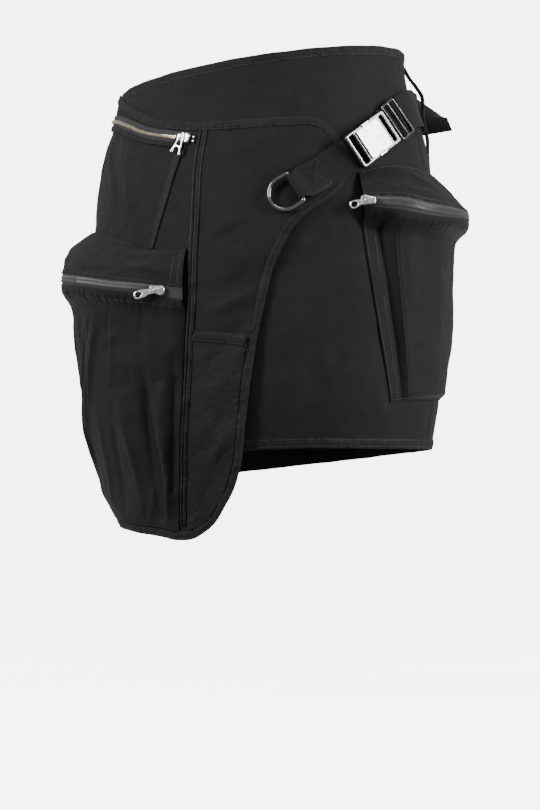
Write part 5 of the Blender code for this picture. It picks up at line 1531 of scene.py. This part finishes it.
class HipPocket:
    """The hip cargo pocket: hood, zip, bag with its flange and gusset, slider and pull."""

    LEFT, RIGHT, MIDDLE, BOTTOM = 57.2, 141.0, 99.2, 0.3425
    HOOD_TOP = Smooth(
        (56.0, 0.1210), (61.0, 0.1165), (66.0, 0.1145), (73.0, 0.1140), (95.6, 0.1200),
        (120.0, 0.1240), (142.0, 0.1260),
    )
    ZIP_TOP = Smooth(
        (57.0, 0.1420), (68.7, 0.1452), (78.5, 0.1514), (94.6, 0.1555), (118.0, 0.1575), (142.0, 0.1560),
    )
    ZIP_LOW = Smooth(
        (57.0, 0.1534), (68.4, 0.1600), (78.2, 0.1655), (98.0, 0.1670), (118.0, 0.1690), (142.0, 0.1670),
    )
    ZIP_OUT = Smooth(
        (57.0, 0.0080), (62.0, 0.0160), (68.7, 0.0250), (78.5, 0.0300), (94.6, 0.0305),
        (111.0, 0.0305), (121.0, 0.0300), (131.0, 0.0235), (137.0, 0.0140), (141.5, 0.0020),
    )
    BAG_OUT = Smooth(
        (0.150, 0.0295), (0.165, 0.0240), (0.185, 0.0170), (0.230, 0.0120), (0.280, 0.0092),
        (0.320, 0.0062), (0.343, 0.0040),
    )
    SIDE = Smooth(
        (0.155, 57.3), (0.170, 57.5), (0.195, 58.7), (0.224, 60.3), (0.263, 62.6), (0.301, 65.3),
        (0.343, 68.4),
    )
    PROFILE = Smooth(
        (0.000, 0.00), (0.030, 0.02), (0.060, 0.03), (0.080, 0.00), (0.095, 0.40), (0.115, 0.85),
        (0.150, 1.00), (0.220, 1.02), (0.300, 1.04), (0.400, 1.05), (0.500, 1.05),
    )
    FOLDS = (
        Fold(74.0, 0.180, 77.0, 0.262, 0.0012, 0.0050, 0.003),
        Fold(80.0, 0.178, 86.0, 0.250, -0.0011, 0.0060, -0.003),
        Fold(76.0, 0.250, 79.0, 0.332, -0.0009, 0.0060, 0.003),
        Fold(90.0, 0.176, 92.0, 0.290, 0.0009, 0.0080, 0.004),
        Fold(84.0, 0.270, 96.0, 0.330, 0.0007, 0.0080, 0.004),
        Fold(104.0, 0.180, 101.0, 0.300, -0.0009, 0.0090, 0.004),
        Fold(118.0, 0.185, 114.0, 0.310, 0.0010, 0.0080),
    )
    HOOD_FOLDS = (
        Fold(70.0, 0.1350, 84.0, 0.1420, 0.0012, 0.0035, 0.003),
        Fold(68.0, 0.1260, 80.0, 0.1290, -0.0009, 0.0032, 0.001),
        Fold(78.0, 0.1220, 92.0, 0.1380, 0.0011, 0.0042, 0.002),
        Fold(88.0, 0.1260, 100.0, 0.1440, -0.0010, 0.0050),
        Fold(104.0, 0.1300, 122.0, 0.1440, 0.0011, 0.0050, 0.003),
        Fold(60.0, 0.1260, 70.0, 0.1400, 0.0008, 0.0028),
    )

    def __init__(self) -> None:
        self.stitches = Stitching(105)
        ends = (self.LEFT, self.RIGHT)
        self.zip = ZipBand(self.ZIP_TOP, self.ZIP_LOW, self.ZIP_OUT, ends, self.backing, 0.2850)

    @staticmethod
    def backing(phi: Array, drop: Array) -> Array:
        """The under layer's outside, without its fine folds."""
        turn = np.where(phi < 180.0, phi, phi - 360.0)
        return Layers.body_face(turn, drop) + LAY

    def hood(self) -> None:
        """The hood over the zip."""

        def surface(u: Array, v: Array) -> tuple[Array, Array, Array]:
            phi = mix(self.LEFT, self.RIGHT, u)
            drop = mix(self.HOOD_TOP(phi), self.ZIP_TOP(phi) + 0.0008, v)
            rise = WALL + self.ZIP_OUT(phi) * v**0.9
            fade = ease(v / 0.15) * ease((1.0 - v) / 0.06)
            fine = 1.5 * relief(self.HOOD_FOLDS, phi, drop) + wander(phi, drop, 0.0004, 0.00018, 0.00003)
            near = np.exp(-((v / 0.12) ** 2)) + np.exp(-(((1 - v) / 0.14) ** 2))
            pucker = 0.00032 * PUCKER(girth(phi)) * near
            lip = 0.0006 * np.exp(-(((1.0 - v) / 0.09) ** 2))
            return phi, drop, self.backing(phi, drop) + rise + fine * fade + pucker + lip

        piece = Maker.shell("hip_hood_cloth", surface, 170, 56, Shop.material(Finish.TWILL))
        Shop.fit(piece, Finish.TWILL, "hip_pocket_hood")

    def bag_place(self, w: Array, v: Array) -> tuple[Array, Array]:
        """Place of the bag at a share across and down."""
        middle = mix(0.165, self.BOTTOM, v)
        side = self.SIDE(middle)
        phi = mix(side, 2.0 * self.MIDDLE - side, w)
        return phi, mix(self.ZIP_LOW(phi) - 0.0004, self.BOTTOM, v)

    def bag_out(self, w: Array, v: Array, phi: Array, drop: Array) -> Array:
        """How far the bag stands off the under layer."""
        profile = self.PROFILE(np.minimum(w, 1.0 - w))
        body = self.BAG_OUT(drop) * np.clip(profile, 0.0, 2.0) * (1.0 - ease((v - 0.965) / 0.035))
        return mix(self.ZIP_OUT(phi), body, ease(v / 0.12))

    def bag(self) -> None:
        """The bag: flat flange, dark recess and the proud front."""

        def surface(u: Array, v: Array) -> tuple[Array, Array, Array]:
            w = u - 0.055 * np.sin(2.0 * math.pi * u)
            phi, drop = self.bag_place(w, v)
            inside = ease((np.minimum(w, 1.0 - w) - 0.12) / 0.05)
            fine = relief(self.FOLDS, phi, drop) * inside + wander(phi, drop, 0.0004, 0.00012, 0.00003)
            fine = fine * ease((v - 0.03) / 0.06) * ease((0.99 - v) / 0.03)
            below = (drop - self.ZIP_LOW(phi)) / 0.0090
            facing = 0.0006 * ease((1.04 - below) / 0.05)
            pucker = 0.00035 * PUCKER(girth(phi), drop * 0.3) * np.exp(-(((below - 0.9) / 0.55) ** 2))
            out = np.maximum(0.0, self.bag_out(w, v, phi, drop) + fine)
            return phi, drop, self.backing(phi, drop) + WALL + out + facing + pucker

        piece = Maker.shell("hip_bag_cloth", surface, 210, 150, Shop.material(Finish.TWILL))
        Shop.fit(piece, Finish.TWILL, "hip_pocket_bag")

    def seams(self) -> None:
        """The stitch rows of the hood, flange and pouch."""

        def on_bag(start: Pair, end: Pair) -> None:
            (w_a, v_a), (w_b, v_b) = start, end

            def place(share: Array, across: Array, lift: Array) -> Array:
                share = np.asarray(share)
                w, v = mix(w_a, w_b, share), mix(v_a, v_b, share)
                phi, drop = self.bag_place(w, v)
                out = self.backing(phi, drop) + WALL + self.bag_out(w, v, phi, drop)
                return form_point(phi, drop, out + lift)

            length = 0.20 * abs(v_b - v_a) + 0.22 * abs(w_b - w_a)
            self.stitches.row(place, length, 0.0, 0.0003)

        for w in (0.008, 0.050, 0.118):
            for side in (w, 1.0 - w):
                on_bag((side, 0.10), (side, 0.975))
        on_bag((0.008, 0.985), (0.992, 0.985))
        phi = np.linspace(self.LEFT + 1.0, self.RIGHT - 1.0, 60)
        line = Line(np.stack((girth(phi), self.HOOD_TOP(phi) + 0.0020), -1))

        def lifted(at: Array, drop: Array) -> Array:
            v = np.clip((drop - self.HOOD_TOP(at)) / (self.ZIP_TOP(at) - self.HOOD_TOP(at)), 0.0, 1.0)
            return self.backing(at, drop) + WALL + self.ZIP_OUT(at) * v**0.9

        self.stitches.row(along_line(line, lifted), line.length, 0.0, 0.0003)
        self.stitches.row(self.zip.place, self.zip.length, -0.0066, 0.0017, 0.01, 0.985)
        self.stitches.row(self.zip.place, self.zip.length, 0.0066, 0.0012, 0.01, 0.985)

    def build(self) -> None:
        """Makes the pocket."""
        self.hood()
        self.bag()
        self.zip.build("hip_pocket_zip", 0.035, 0.985, 32)
        seat = frame_of(self.zip.place, 0.014, 0.0034, turn=180.0)
        slider = Slider("hip_pocket_slider", seat, 202.0)
        slider.build()
        ring_pull("hip_pocket_pull", slider.hinge, "hip_pull", 0.0185)
        self.seams()
        self.stitches.finish("hip_pocket_stitching")


class SideStrap:
    """The strap round the wearer's left hip: ring, buckle, slide, webbing, tail and loop."""

    LINE = (
        (34.8, 0.1298), (45.0, 0.1155), (54.0, 0.1025), (64.0, 0.0885), (74.0, 0.0755), (81.7, 0.0665),
        (92.0, 0.0590), (105.0, 0.0550), (120.0, 0.0550), (140.0, 0.0565), (154.0, 0.0580),
    )
    RING_WIDTH, SIDE_WIDTH, WEBBING = 0.033, 0.036, 0.0013
    GAP, RISE, SLIDE_RISE, WIRE = 0.0012, 0.0021, 0.0013, 0.0040
    BUCKLE_AT, BUCKLE_LENGTH, BUCKLE_WIDTH = 0.0840, 0.0570, 0.0360
    SLIDE_AT, SLIDE_LENGTH, SLIDE_WIDTH = 0.1265, 0.0210, 0.0400
    LOOP_OUT = Smooth(
        (0.0095, 0.0007), (0.018, 0.0046), (0.028, 0.0112), (0.038, 0.0155), (0.048, 0.0135),
        (0.060, 0.0092), (0.072, 0.0070), (0.082, 0.0062), (0.096, 0.0028), (0.112, 0.0006),
    )
    TAIL_IN_LOOP = (
        (112.0, 0.0048, 0.0034, 0.0030), (117.5, 0.0088, 0.0042, 0.0032),
        (123.6, 0.0100, 0.0050, 0.0038), (126.6, 0.0125, 0.0066, 0.0054),
    )
    TAIL_END = ((0.1850, 0.0160, -0.0410), (0.1862, -0.0020, -0.0420), (0.1910, -0.0100, -0.0550))

    def __init__(self) -> None:
        self.line = Line.through(self.LINE)
        self.stitches = Stitching(106)
        on_bed = along_line(self.line, self.bed)
        self.place: Place = lambda x, across, lift: on_bed(np.asarray(x) / self.line.length, across, lift)
        self.seat = frame_of(self.place, 0.0, 0.0)

    def bed(self, phi: Array, drop: Array) -> Array:
        """What the strap lies on: the wrap's tip, then the under layer."""
        body = Layers.body_face(phi, drop)
        on_wrap = Layers.wrap_bed(phi, drop) + BAND_RISE - 0.0004
        return self.GAP + mix(on_wrap, body, ease((phi - 57.0) / 9.0))

    def loop_place(self, x: Array, across: Array, lift: Array) -> Array:
        """The ring webbing's place: flat at the ring's bar, then on the strap's bed."""
        x, across, lift = np.broadcast_arrays(np.asarray(x, float), across, lift)
        across = across * mix(0.79, 1.0, ease((x - 0.002) / 0.008))
        seat = np.array(self.seat)
        flat = np.stack((x, -across, lift), -1) @ seat[:3, :3].T + seat[:3, 3]
        lift = lift + self.RISE * ease((x - 0.040) / 0.018)
        share = ease((x - 0.010) / 0.020)[..., None]
        return flat + (self.place(x, across, lift) - flat) * share

    def ribbon(self, name: str, path: Sequence[Pair], width: float, place: Place,
               seed: int) -> bpy.types.Object:
        """A webbing strap with ribbed faces and soft selvedges along a path of (x, lift)."""
        line = np.array(path)
        steps = np.hypot(*np.diff(line, axis=0).T)
        along = np.concatenate(([0.0], np.cumsum(steps)))
        at = np.linspace(0.0, along[-1], max(40, int(along[-1] / 0.0012)))
        x, lift = (np.interp(at, along, line[:, i]) for i in (0, 1))
        run = np.stack((np.gradient(x), np.gradient(lift)), -1)
        run /= np.linalg.norm(run, axis=-1, keepdims=True)
        half = 0.5 * self.WEBBING
        across = np.linspace(-1.0, 1.0, 19)
        edge = np.clip((1.0 - np.abs(across)) / 0.06, 0.0, 1.0) ** 0.5
        thick = half * (0.35 + 0.65 * edge)
        shares = np.concatenate((across, across[::-1]))
        offset = np.concatenate((thick, -thick[::-1]))
        wave = Ripple(60 + seed, 0.018, 0.050, 8)
        k = np.arange(len(shares))
        spot_x = x[:, None] - run[:, None, 1] * offset[k]
        spot_z = lift[:, None] + run[:, None, 0] * offset[k] + 0.00015 * wave(at[:, None], shares[k] * 0.01)
        points = place(spot_x, shares[k][None] * 0.5 * width, spot_z)
        count, wide = spot_x.shape
        faces = Maker.quads(count, wide, around=True)
        faces += [list(range(wide))[::-1], list(range((count - 1) * wide, count * wide))]
        uv = np.stack(np.broadcast_arrays(shares[k][None] * 0.5 * width, at[:, None]), -1)
        made = Maker.mesh(name, points, faces, uv, Shop.material(Finish.WEBBING), 60.0)
        Maker.face_out(made)
        return made

    def ring(self) -> None:
        """The ring's webbing, its box stitching and the D-ring."""
        low, wire = 0.5 * self.WEBBING, self.WIRE
        bar, round_bar = self.WEBBING + 0.0003 + 0.5 * wire, 0.5 * wire + 0.0003 + low
        end = self.BUCKLE_AT - 0.5 * self.BUCKLE_LENGTH + 0.0030
        upper = self.WEBBING + 0.0003 + low
        path = [(mix(end, 0.016, i / 7), upper) for i in range(8)]
        path += [(0.0110, upper + 0.0009), (0.0065, upper + 0.0026), (0.0030, bar + round_bar - 0.0005)]
        for turn in np.radians(np.linspace(90.0, 270.0, 17)):
            path.append((round_bar * math.cos(turn), bar + round_bar * math.sin(turn)))
        path += [(mix(0.004, end, i / 8), low) for i in range(9)]
        piece = self.ribbon("ring_webbing_cloth", path, self.RING_WIDTH, self.loop_place, 1)
        Shop.fit(piece, Finish.WEBBING, "ring_webbing")
        for a, b in (((0.014, -1), (0.030, -1)), ((0.014, 1), (0.030, 1)), ((0.014, -1), (0.014, 1)),
                     ((0.030, -1), (0.030, 1)), ((0.014, -1), (0.030, 1)), ((0.014, 1), (0.030, -1))):
            self.strap_row(a, b, 0.0135, upper + low)
        frame = self.seat @ Matrix.Translation((0.0, 0.0, bar)) @ Matrix.Rotation(math.radians(-7.5), 4, "Y")
        radius, leg = 0.0160, 0.0115
        points = [(0.0, y * radius, 0.0) for y in np.linspace(-0.86, 0.86, 12)]
        corner = [(-0.0022 + 0.0022 * math.cos(t), radius * 0.862 + 0.0022 * math.sin(t), 0.0)
                  for t in np.radians(np.linspace(0.0, 90.0, 7))]
        points += corner
        for turn in np.radians(np.linspace(90.0, 270.0, 49)):
            points.append((-leg + radius * math.cos(turn), radius * math.sin(turn), 0.0))
        points += [(x, -y, z) for x, y, z in reversed(corner)]
        ring = Maker.wire("d_ring_wire", points, 0.5 * wire, Shop.material(Finish.NICKEL), frame)
        Shop.fit(ring, Finish.NICKEL, "d_ring", body="strap_ring")

    def strap_row(self, a: Pair, b: Pair, half: float, lift: float) -> None:
        """A stitch row on the ring webbing from (x, side) to (x, side)."""

        def place(share: Array, across: Array, height: Array) -> Array:
            share = np.asarray(share)
            return self.loop_place(mix(a[0], b[0], share), mix(a[1], b[1], share) * half, height)

        self.stitches.row(place, math.hypot(b[0] - a[0], (b[1] - a[1]) * half), 0.0, lift + 0.0001)

    def buckle(self) -> None:
        """The buckle's dark frame with its plain silver plate, and the slide behind it."""
        frame = frame_of(self.place, self.BUCKLE_AT, 0.0036)
        half, tall = 0.5 * self.BUCKLE_LENGTH, 0.5 * self.BUCKLE_WIDTH
        plate_half, plate_tall = 0.0155, 0.01525
        nickel, silver = Shop.material(Finish.NICKEL), Shop.material(Finish.BRIGHT)
        outline = box_outline(-half, half, -tall, tall, 0.0030)
        slot = box_outline(-half + 0.0035, -plate_half - 0.0025, -tall + 0.003, tall - 0.003, 0.0010)
        rear = box_outline(plate_half + 0.0045, half - 0.0045, -tall + 0.004, tall - 0.004, 0.0010)
        body = Maker.plate("buckle_body", (outline, slot, rear), 0.0060, nickel, frame, 0.0011)
        Shop.fit(body, Finish.NICKEL, "buckle_frame")
        face = box_outline(-plate_half, plate_half, -plate_tall, plate_tall, 0.0007)
        plate = Maker.plate("buckle_cover", (face,), 0.0014, silver, frame, 0.0004, 0.0063)
        Shop.fit(plate, Finish.BRIGHT, "buckle_plate")
        studs = Maker.studs("buckle_screws", (
            (-0.0138, -0.0128, 0.0075, 0.0009, 0.0004), (0.0138, 0.0128, 0.0075, 0.0009, 0.0004),
            (0.0138, -0.0128, 0.0075, 0.0009, 0.0004), (-0.0138, 0.0128, 0.0075, 0.0009, 0.0004),
        ), Shop.material(Finish.SILVER), frame)
        Shop.fit(studs, Finish.SILVER)
        for name, side in (("low", -1.0), ("high", 1.0)):
            tab = box_outline(-0.0050, 0.0050, side * 0.0166 - 0.0012, side * 0.0166 + 0.0012, 0.0006)
            made = Maker.plate("buckle_tab_" + name, (tab,), 0.0022, silver, frame, 0.0004, 0.0052)
            Shop.fit(made, Finish.BRIGHT)
        seat = frame_of(self.place, self.SLIDE_AT, 0.0040) @ Matrix.Rotation(math.radians(-6.0), 4, "Y")
        half, tall, rim, bar = 0.5 * self.SLIDE_LENGTH, 0.5 * self.SLIDE_WIDTH, 0.0024, 0.0012
        outline = box_outline(-half, half, -tall, tall, 0.0028)
        left = box_outline(-half + rim, -bar, -tall + rim, tall - rim, 0.0010)
        right = box_outline(bar, half - rim, -tall + rim, tall - rim, 0.0010)
        slide = Maker.plate("slide_frame", (outline, left, right), 0.0024, nickel, seat, 0.0009)
        Shop.fit(slide, Finish.NICKEL, "strap_slide")

    def side(self) -> None:
        """The side webbing and its tail."""
        low = 0.5 * self.WEBBING
        start, end = self.BUCKLE_AT + 0.5 * self.BUCKLE_LENGTH - 0.003, self.line.length - 0.002
        xs = np.linspace(start, end, 60)
        path = [(x, low + self.SLIDE_RISE * float(ease((self.SLIDE_AT + 0.018 - x) / 0.022))) for x in xs]
        piece = self.ribbon("side_webbing_cloth", path, self.SIDE_WIDTH, self.place, 2)
        Shop.fit(piece, Finish.WEBBING, "side_webbing")
        start = self.SLIDE_AT + 0.5 * self.SLIDE_LENGTH + 0.004
        leave = self.line.share_near(108.0, 0.055) * self.line.length
        lift, half = self.WEBBING + 2.0 * LAY, 0.5 * self.SIDE_WIDTH
        sides = np.array((-1.0, 0.0, 1.0))
        rows = [self.place(np.full(3, mix(start, leave, i / 9)), sides * half, np.full(3, lift))
                for i in range(10)]
        for phi, *outs in self.TAIL_IN_LOOP:
            drop = np.array((0.0375, 0.0570, 0.0760))
            rows.append(form_point(phi, drop, BODY_GAP + WALL + np.array(outs)))
        ends = np.array([SLOPE_WAY * out + AWAY * away + (0.0, 0.0, z) for out, away, z in self.TAIL_END])
        last = rows[-1]
        rows += [mix(last, ends, step / 5) for step in range(1, 6)]
        coarse = np.array(rows)
        steps = np.linalg.norm(np.diff(coarse[:, 1], axis=0), axis=1)
        along = np.concatenate(([0.0], np.cumsum(steps)))
        at = np.linspace(0.0, along[-1], 90)
        fine = np.stack([[np.interp(at, along, coarse[:, j, i]) for i in range(3)] for j in range(3)])
        fine = fine.transpose(2, 0, 1)
        t = np.linspace(0.0, 2.0, 17)
        low_row, share = np.minimum(t.astype(int), 1), t - np.minimum(t.astype(int), 1)
        grid = fine[:, low_row] + (fine[:, low_row + 1] - fine[:, low_row]) * ease(share)[None, :, None]
        run_u, run_v = np.gradient(grid, axis=0), np.gradient(grid, axis=1)
        normal = np.cross(run_v, run_u)
        normal /= np.linalg.norm(normal, axis=-1, keepdims=True)
        outer = grid + normal * self.WEBBING
        count, wide = grid.shape[:2]
        size = count * wide
        faces = Maker.quads(count, wide) + Maker.quads(count, wide, size, flip=True)
        rim, ahead = Maker.rim(count, wide)
        faces += np.stack((rim, rim + size, ahead + size, ahead), -1).tolist()
        uv = np.stack(np.meshgrid(np.linspace(-0.018, 0.018, wide), at), -1)
        tail = Maker.mesh("tail_cloth", np.stack((grid, outer)), faces, np.stack((uv, uv)),
                          Shop.material(Finish.WEBBING), 50.0)
        Maker.face_out(tail)
        Shop.fit(tail, Finish.WEBBING, "strap_tail")

    def loop(self) -> None:
        """The belt loop over the strap."""

        def place(share: Array, across: Array, lift: Array) -> Array:
            drop = mix(0.0100, 0.1120, np.asarray(share))
            phi = 121.0 + np.asarray(across) / 0.0023
            return form_point(phi, drop, Layers.body_face(phi, drop) + self.LOOP_OUT(drop) + lift)

        section = np.array((
            (-0.0050, 0.0), (-0.0050, 0.0012), (-0.0042, 0.0017), (-0.0030, 0.0015), (0.0, 0.0018),
            (0.0030, 0.0015), (0.0042, 0.0017), (0.0050, 0.0012), (0.0050, 0.0),
        ))
        piece = Maker.strip("belt_loop_cloth", place, section, np.linspace(0.0, 1.0, 80),
                            Shop.material(Finish.BINDING), rough=0.00010, length=0.112, seed=41)
        Shop.fit(piece, Finish.BINDING, "belt_loop")
        for across in (-0.0034, 0.0034):
            self.stitches.row(place, 0.112, across, 0.0016, 0.02, 0.98)

    def build(self) -> None:
        """Makes the strap."""
        self.ring()
        self.buckle()
        self.side()
        self.loop()
        self.stitches.finish("strap_stitching")


class Studio:
    """The pale floor, the soft lights and the camera."""

    AZIMUTH, DISTANCE, FOCAL, SENSOR = 30.0, 3.0, 133.33, 36.0

    def backdrop(self) -> None:
        """A pale floor that curves up far behind."""
        graph = Graph("pale_floor")
        at = graph.node("ShaderNodeTexCoord", output="Object")
        cloud = graph.node("ShaderNodeTexNoise", {"Vector": at, "Scale": 3.0, "Detail": 2.0})
        graph.set(Base_Color=graph.blend(cloud, (0.86, 0.86, 0.86), (0.90, 0.90, 0.90)), Roughness=0.9)
        graph.set(Emission_Color=(1.0, 0.99, 0.99, 1.0), Emission_Strength=4.9)
        turn = np.radians(np.linspace(0.0, 90.0, 13))
        curve = [(2.4 + 1.6 * math.sin(t), 1.6 - 1.6 * math.cos(t)) for t in turn]
        profile = [(-6.0, 0.0), *curve, (4.0, 6.0)]
        away = np.array(Matrix.Rotation(math.radians(self.AZIMUTH), 3, "Z"))
        points = np.array([[(x, y, z) for x in (-7.0, 7.0)] for y, z in profile]) @ away.T + (0.0, 0.0, -0.62)
        floor = Maker.mesh("floor", points, Maker.quads(len(profile), 2), None, graph.material)
        floor.visible_diffuse = floor.visible_glossy = False

    def light(self, name: str, at: tuple[float, float, float], size: Pair, power: float) -> None:
        """A rectangular soft light that faces the skirt."""
        data = bpy.data.lights.new(name, "AREA")
        data.shape, data.size, data.size_y, data.energy = "RECTANGLE", *size, power
        made = bpy.data.objects.new(name, data)
        place = Matrix.Rotation(math.radians(self.AZIMUTH), 3, "Z") @ Vector(at)
        made.location = place
        made.rotation_euler = (Vector((0.0, 0.0, -0.2)) - place).to_track_quat("-Z", "Y").to_euler()
        bpy.context.scene.collection.objects.link(made)

    def build(self) -> None:
        """Makes the studio."""
        self.backdrop()
        self.light("key_light", (-2.4, -1.2, 1.0), (0.7, 1.5), 135.0)
        self.light("fill_light", (2.4, -1.3, 0.5), (0.7, 1.6), 165.0)
        self.light("top_light", (0.1, -1.6, 2.2), (1.0, 0.8), 26.0)
        world = bpy.data.worlds.new("studio")
        world.use_nodes = True
        world.node_tree.nodes["Background"].inputs[0].default_value = (1.0, 1.0, 1.0, 1.0)
        world.node_tree.nodes["Background"].inputs[1].default_value = 0.55
        bpy.context.scene.world = world
        turn, tip = math.radians(self.AZIMUTH), math.atan2(0.085, self.DISTANCE)
        back = Vector((math.sin(turn), -math.cos(turn), 0.0))
        right = Vector((math.cos(turn), math.sin(turn), 0.0))
        ahead = -back * math.cos(tip) + Vector((0.0, 0.0, math.sin(tip)))
        data = bpy.data.cameras.new("camera")
        data.lens, data.sensor_width = self.FOCAL, self.SENSOR
        camera = bpy.data.objects.new("camera", data)
        camera.location = back * self.DISTANCE + right * 0.0085 + Vector((0.0, 0.0, -0.414))
        camera.rotation_euler = ahead.to_track_quat("-Z", "Y").to_euler()
        bpy.context.scene.collection.objects.link(camera)
        bpy.context.scene.camera = camera


def main() -> None:
    """Builds the skirt over its frame."""
    logging.basicConfig(level=logging.INFO, format="%(message)s")
    for leftover in list(bpy.data.objects):
        bpy.data.objects.remove(leftover, do_unlink=True)
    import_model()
    UnderLayer().build()
    wrap = WrapLayer()
    wrap.build()
    WaistZip().build()
    FrontPocket(wrap).build()
    HipPocket().build()
    SideStrap().build()
    Studio().build()
    bpy.context.view_layer.update()


if __name__ == "__main__":
    main()
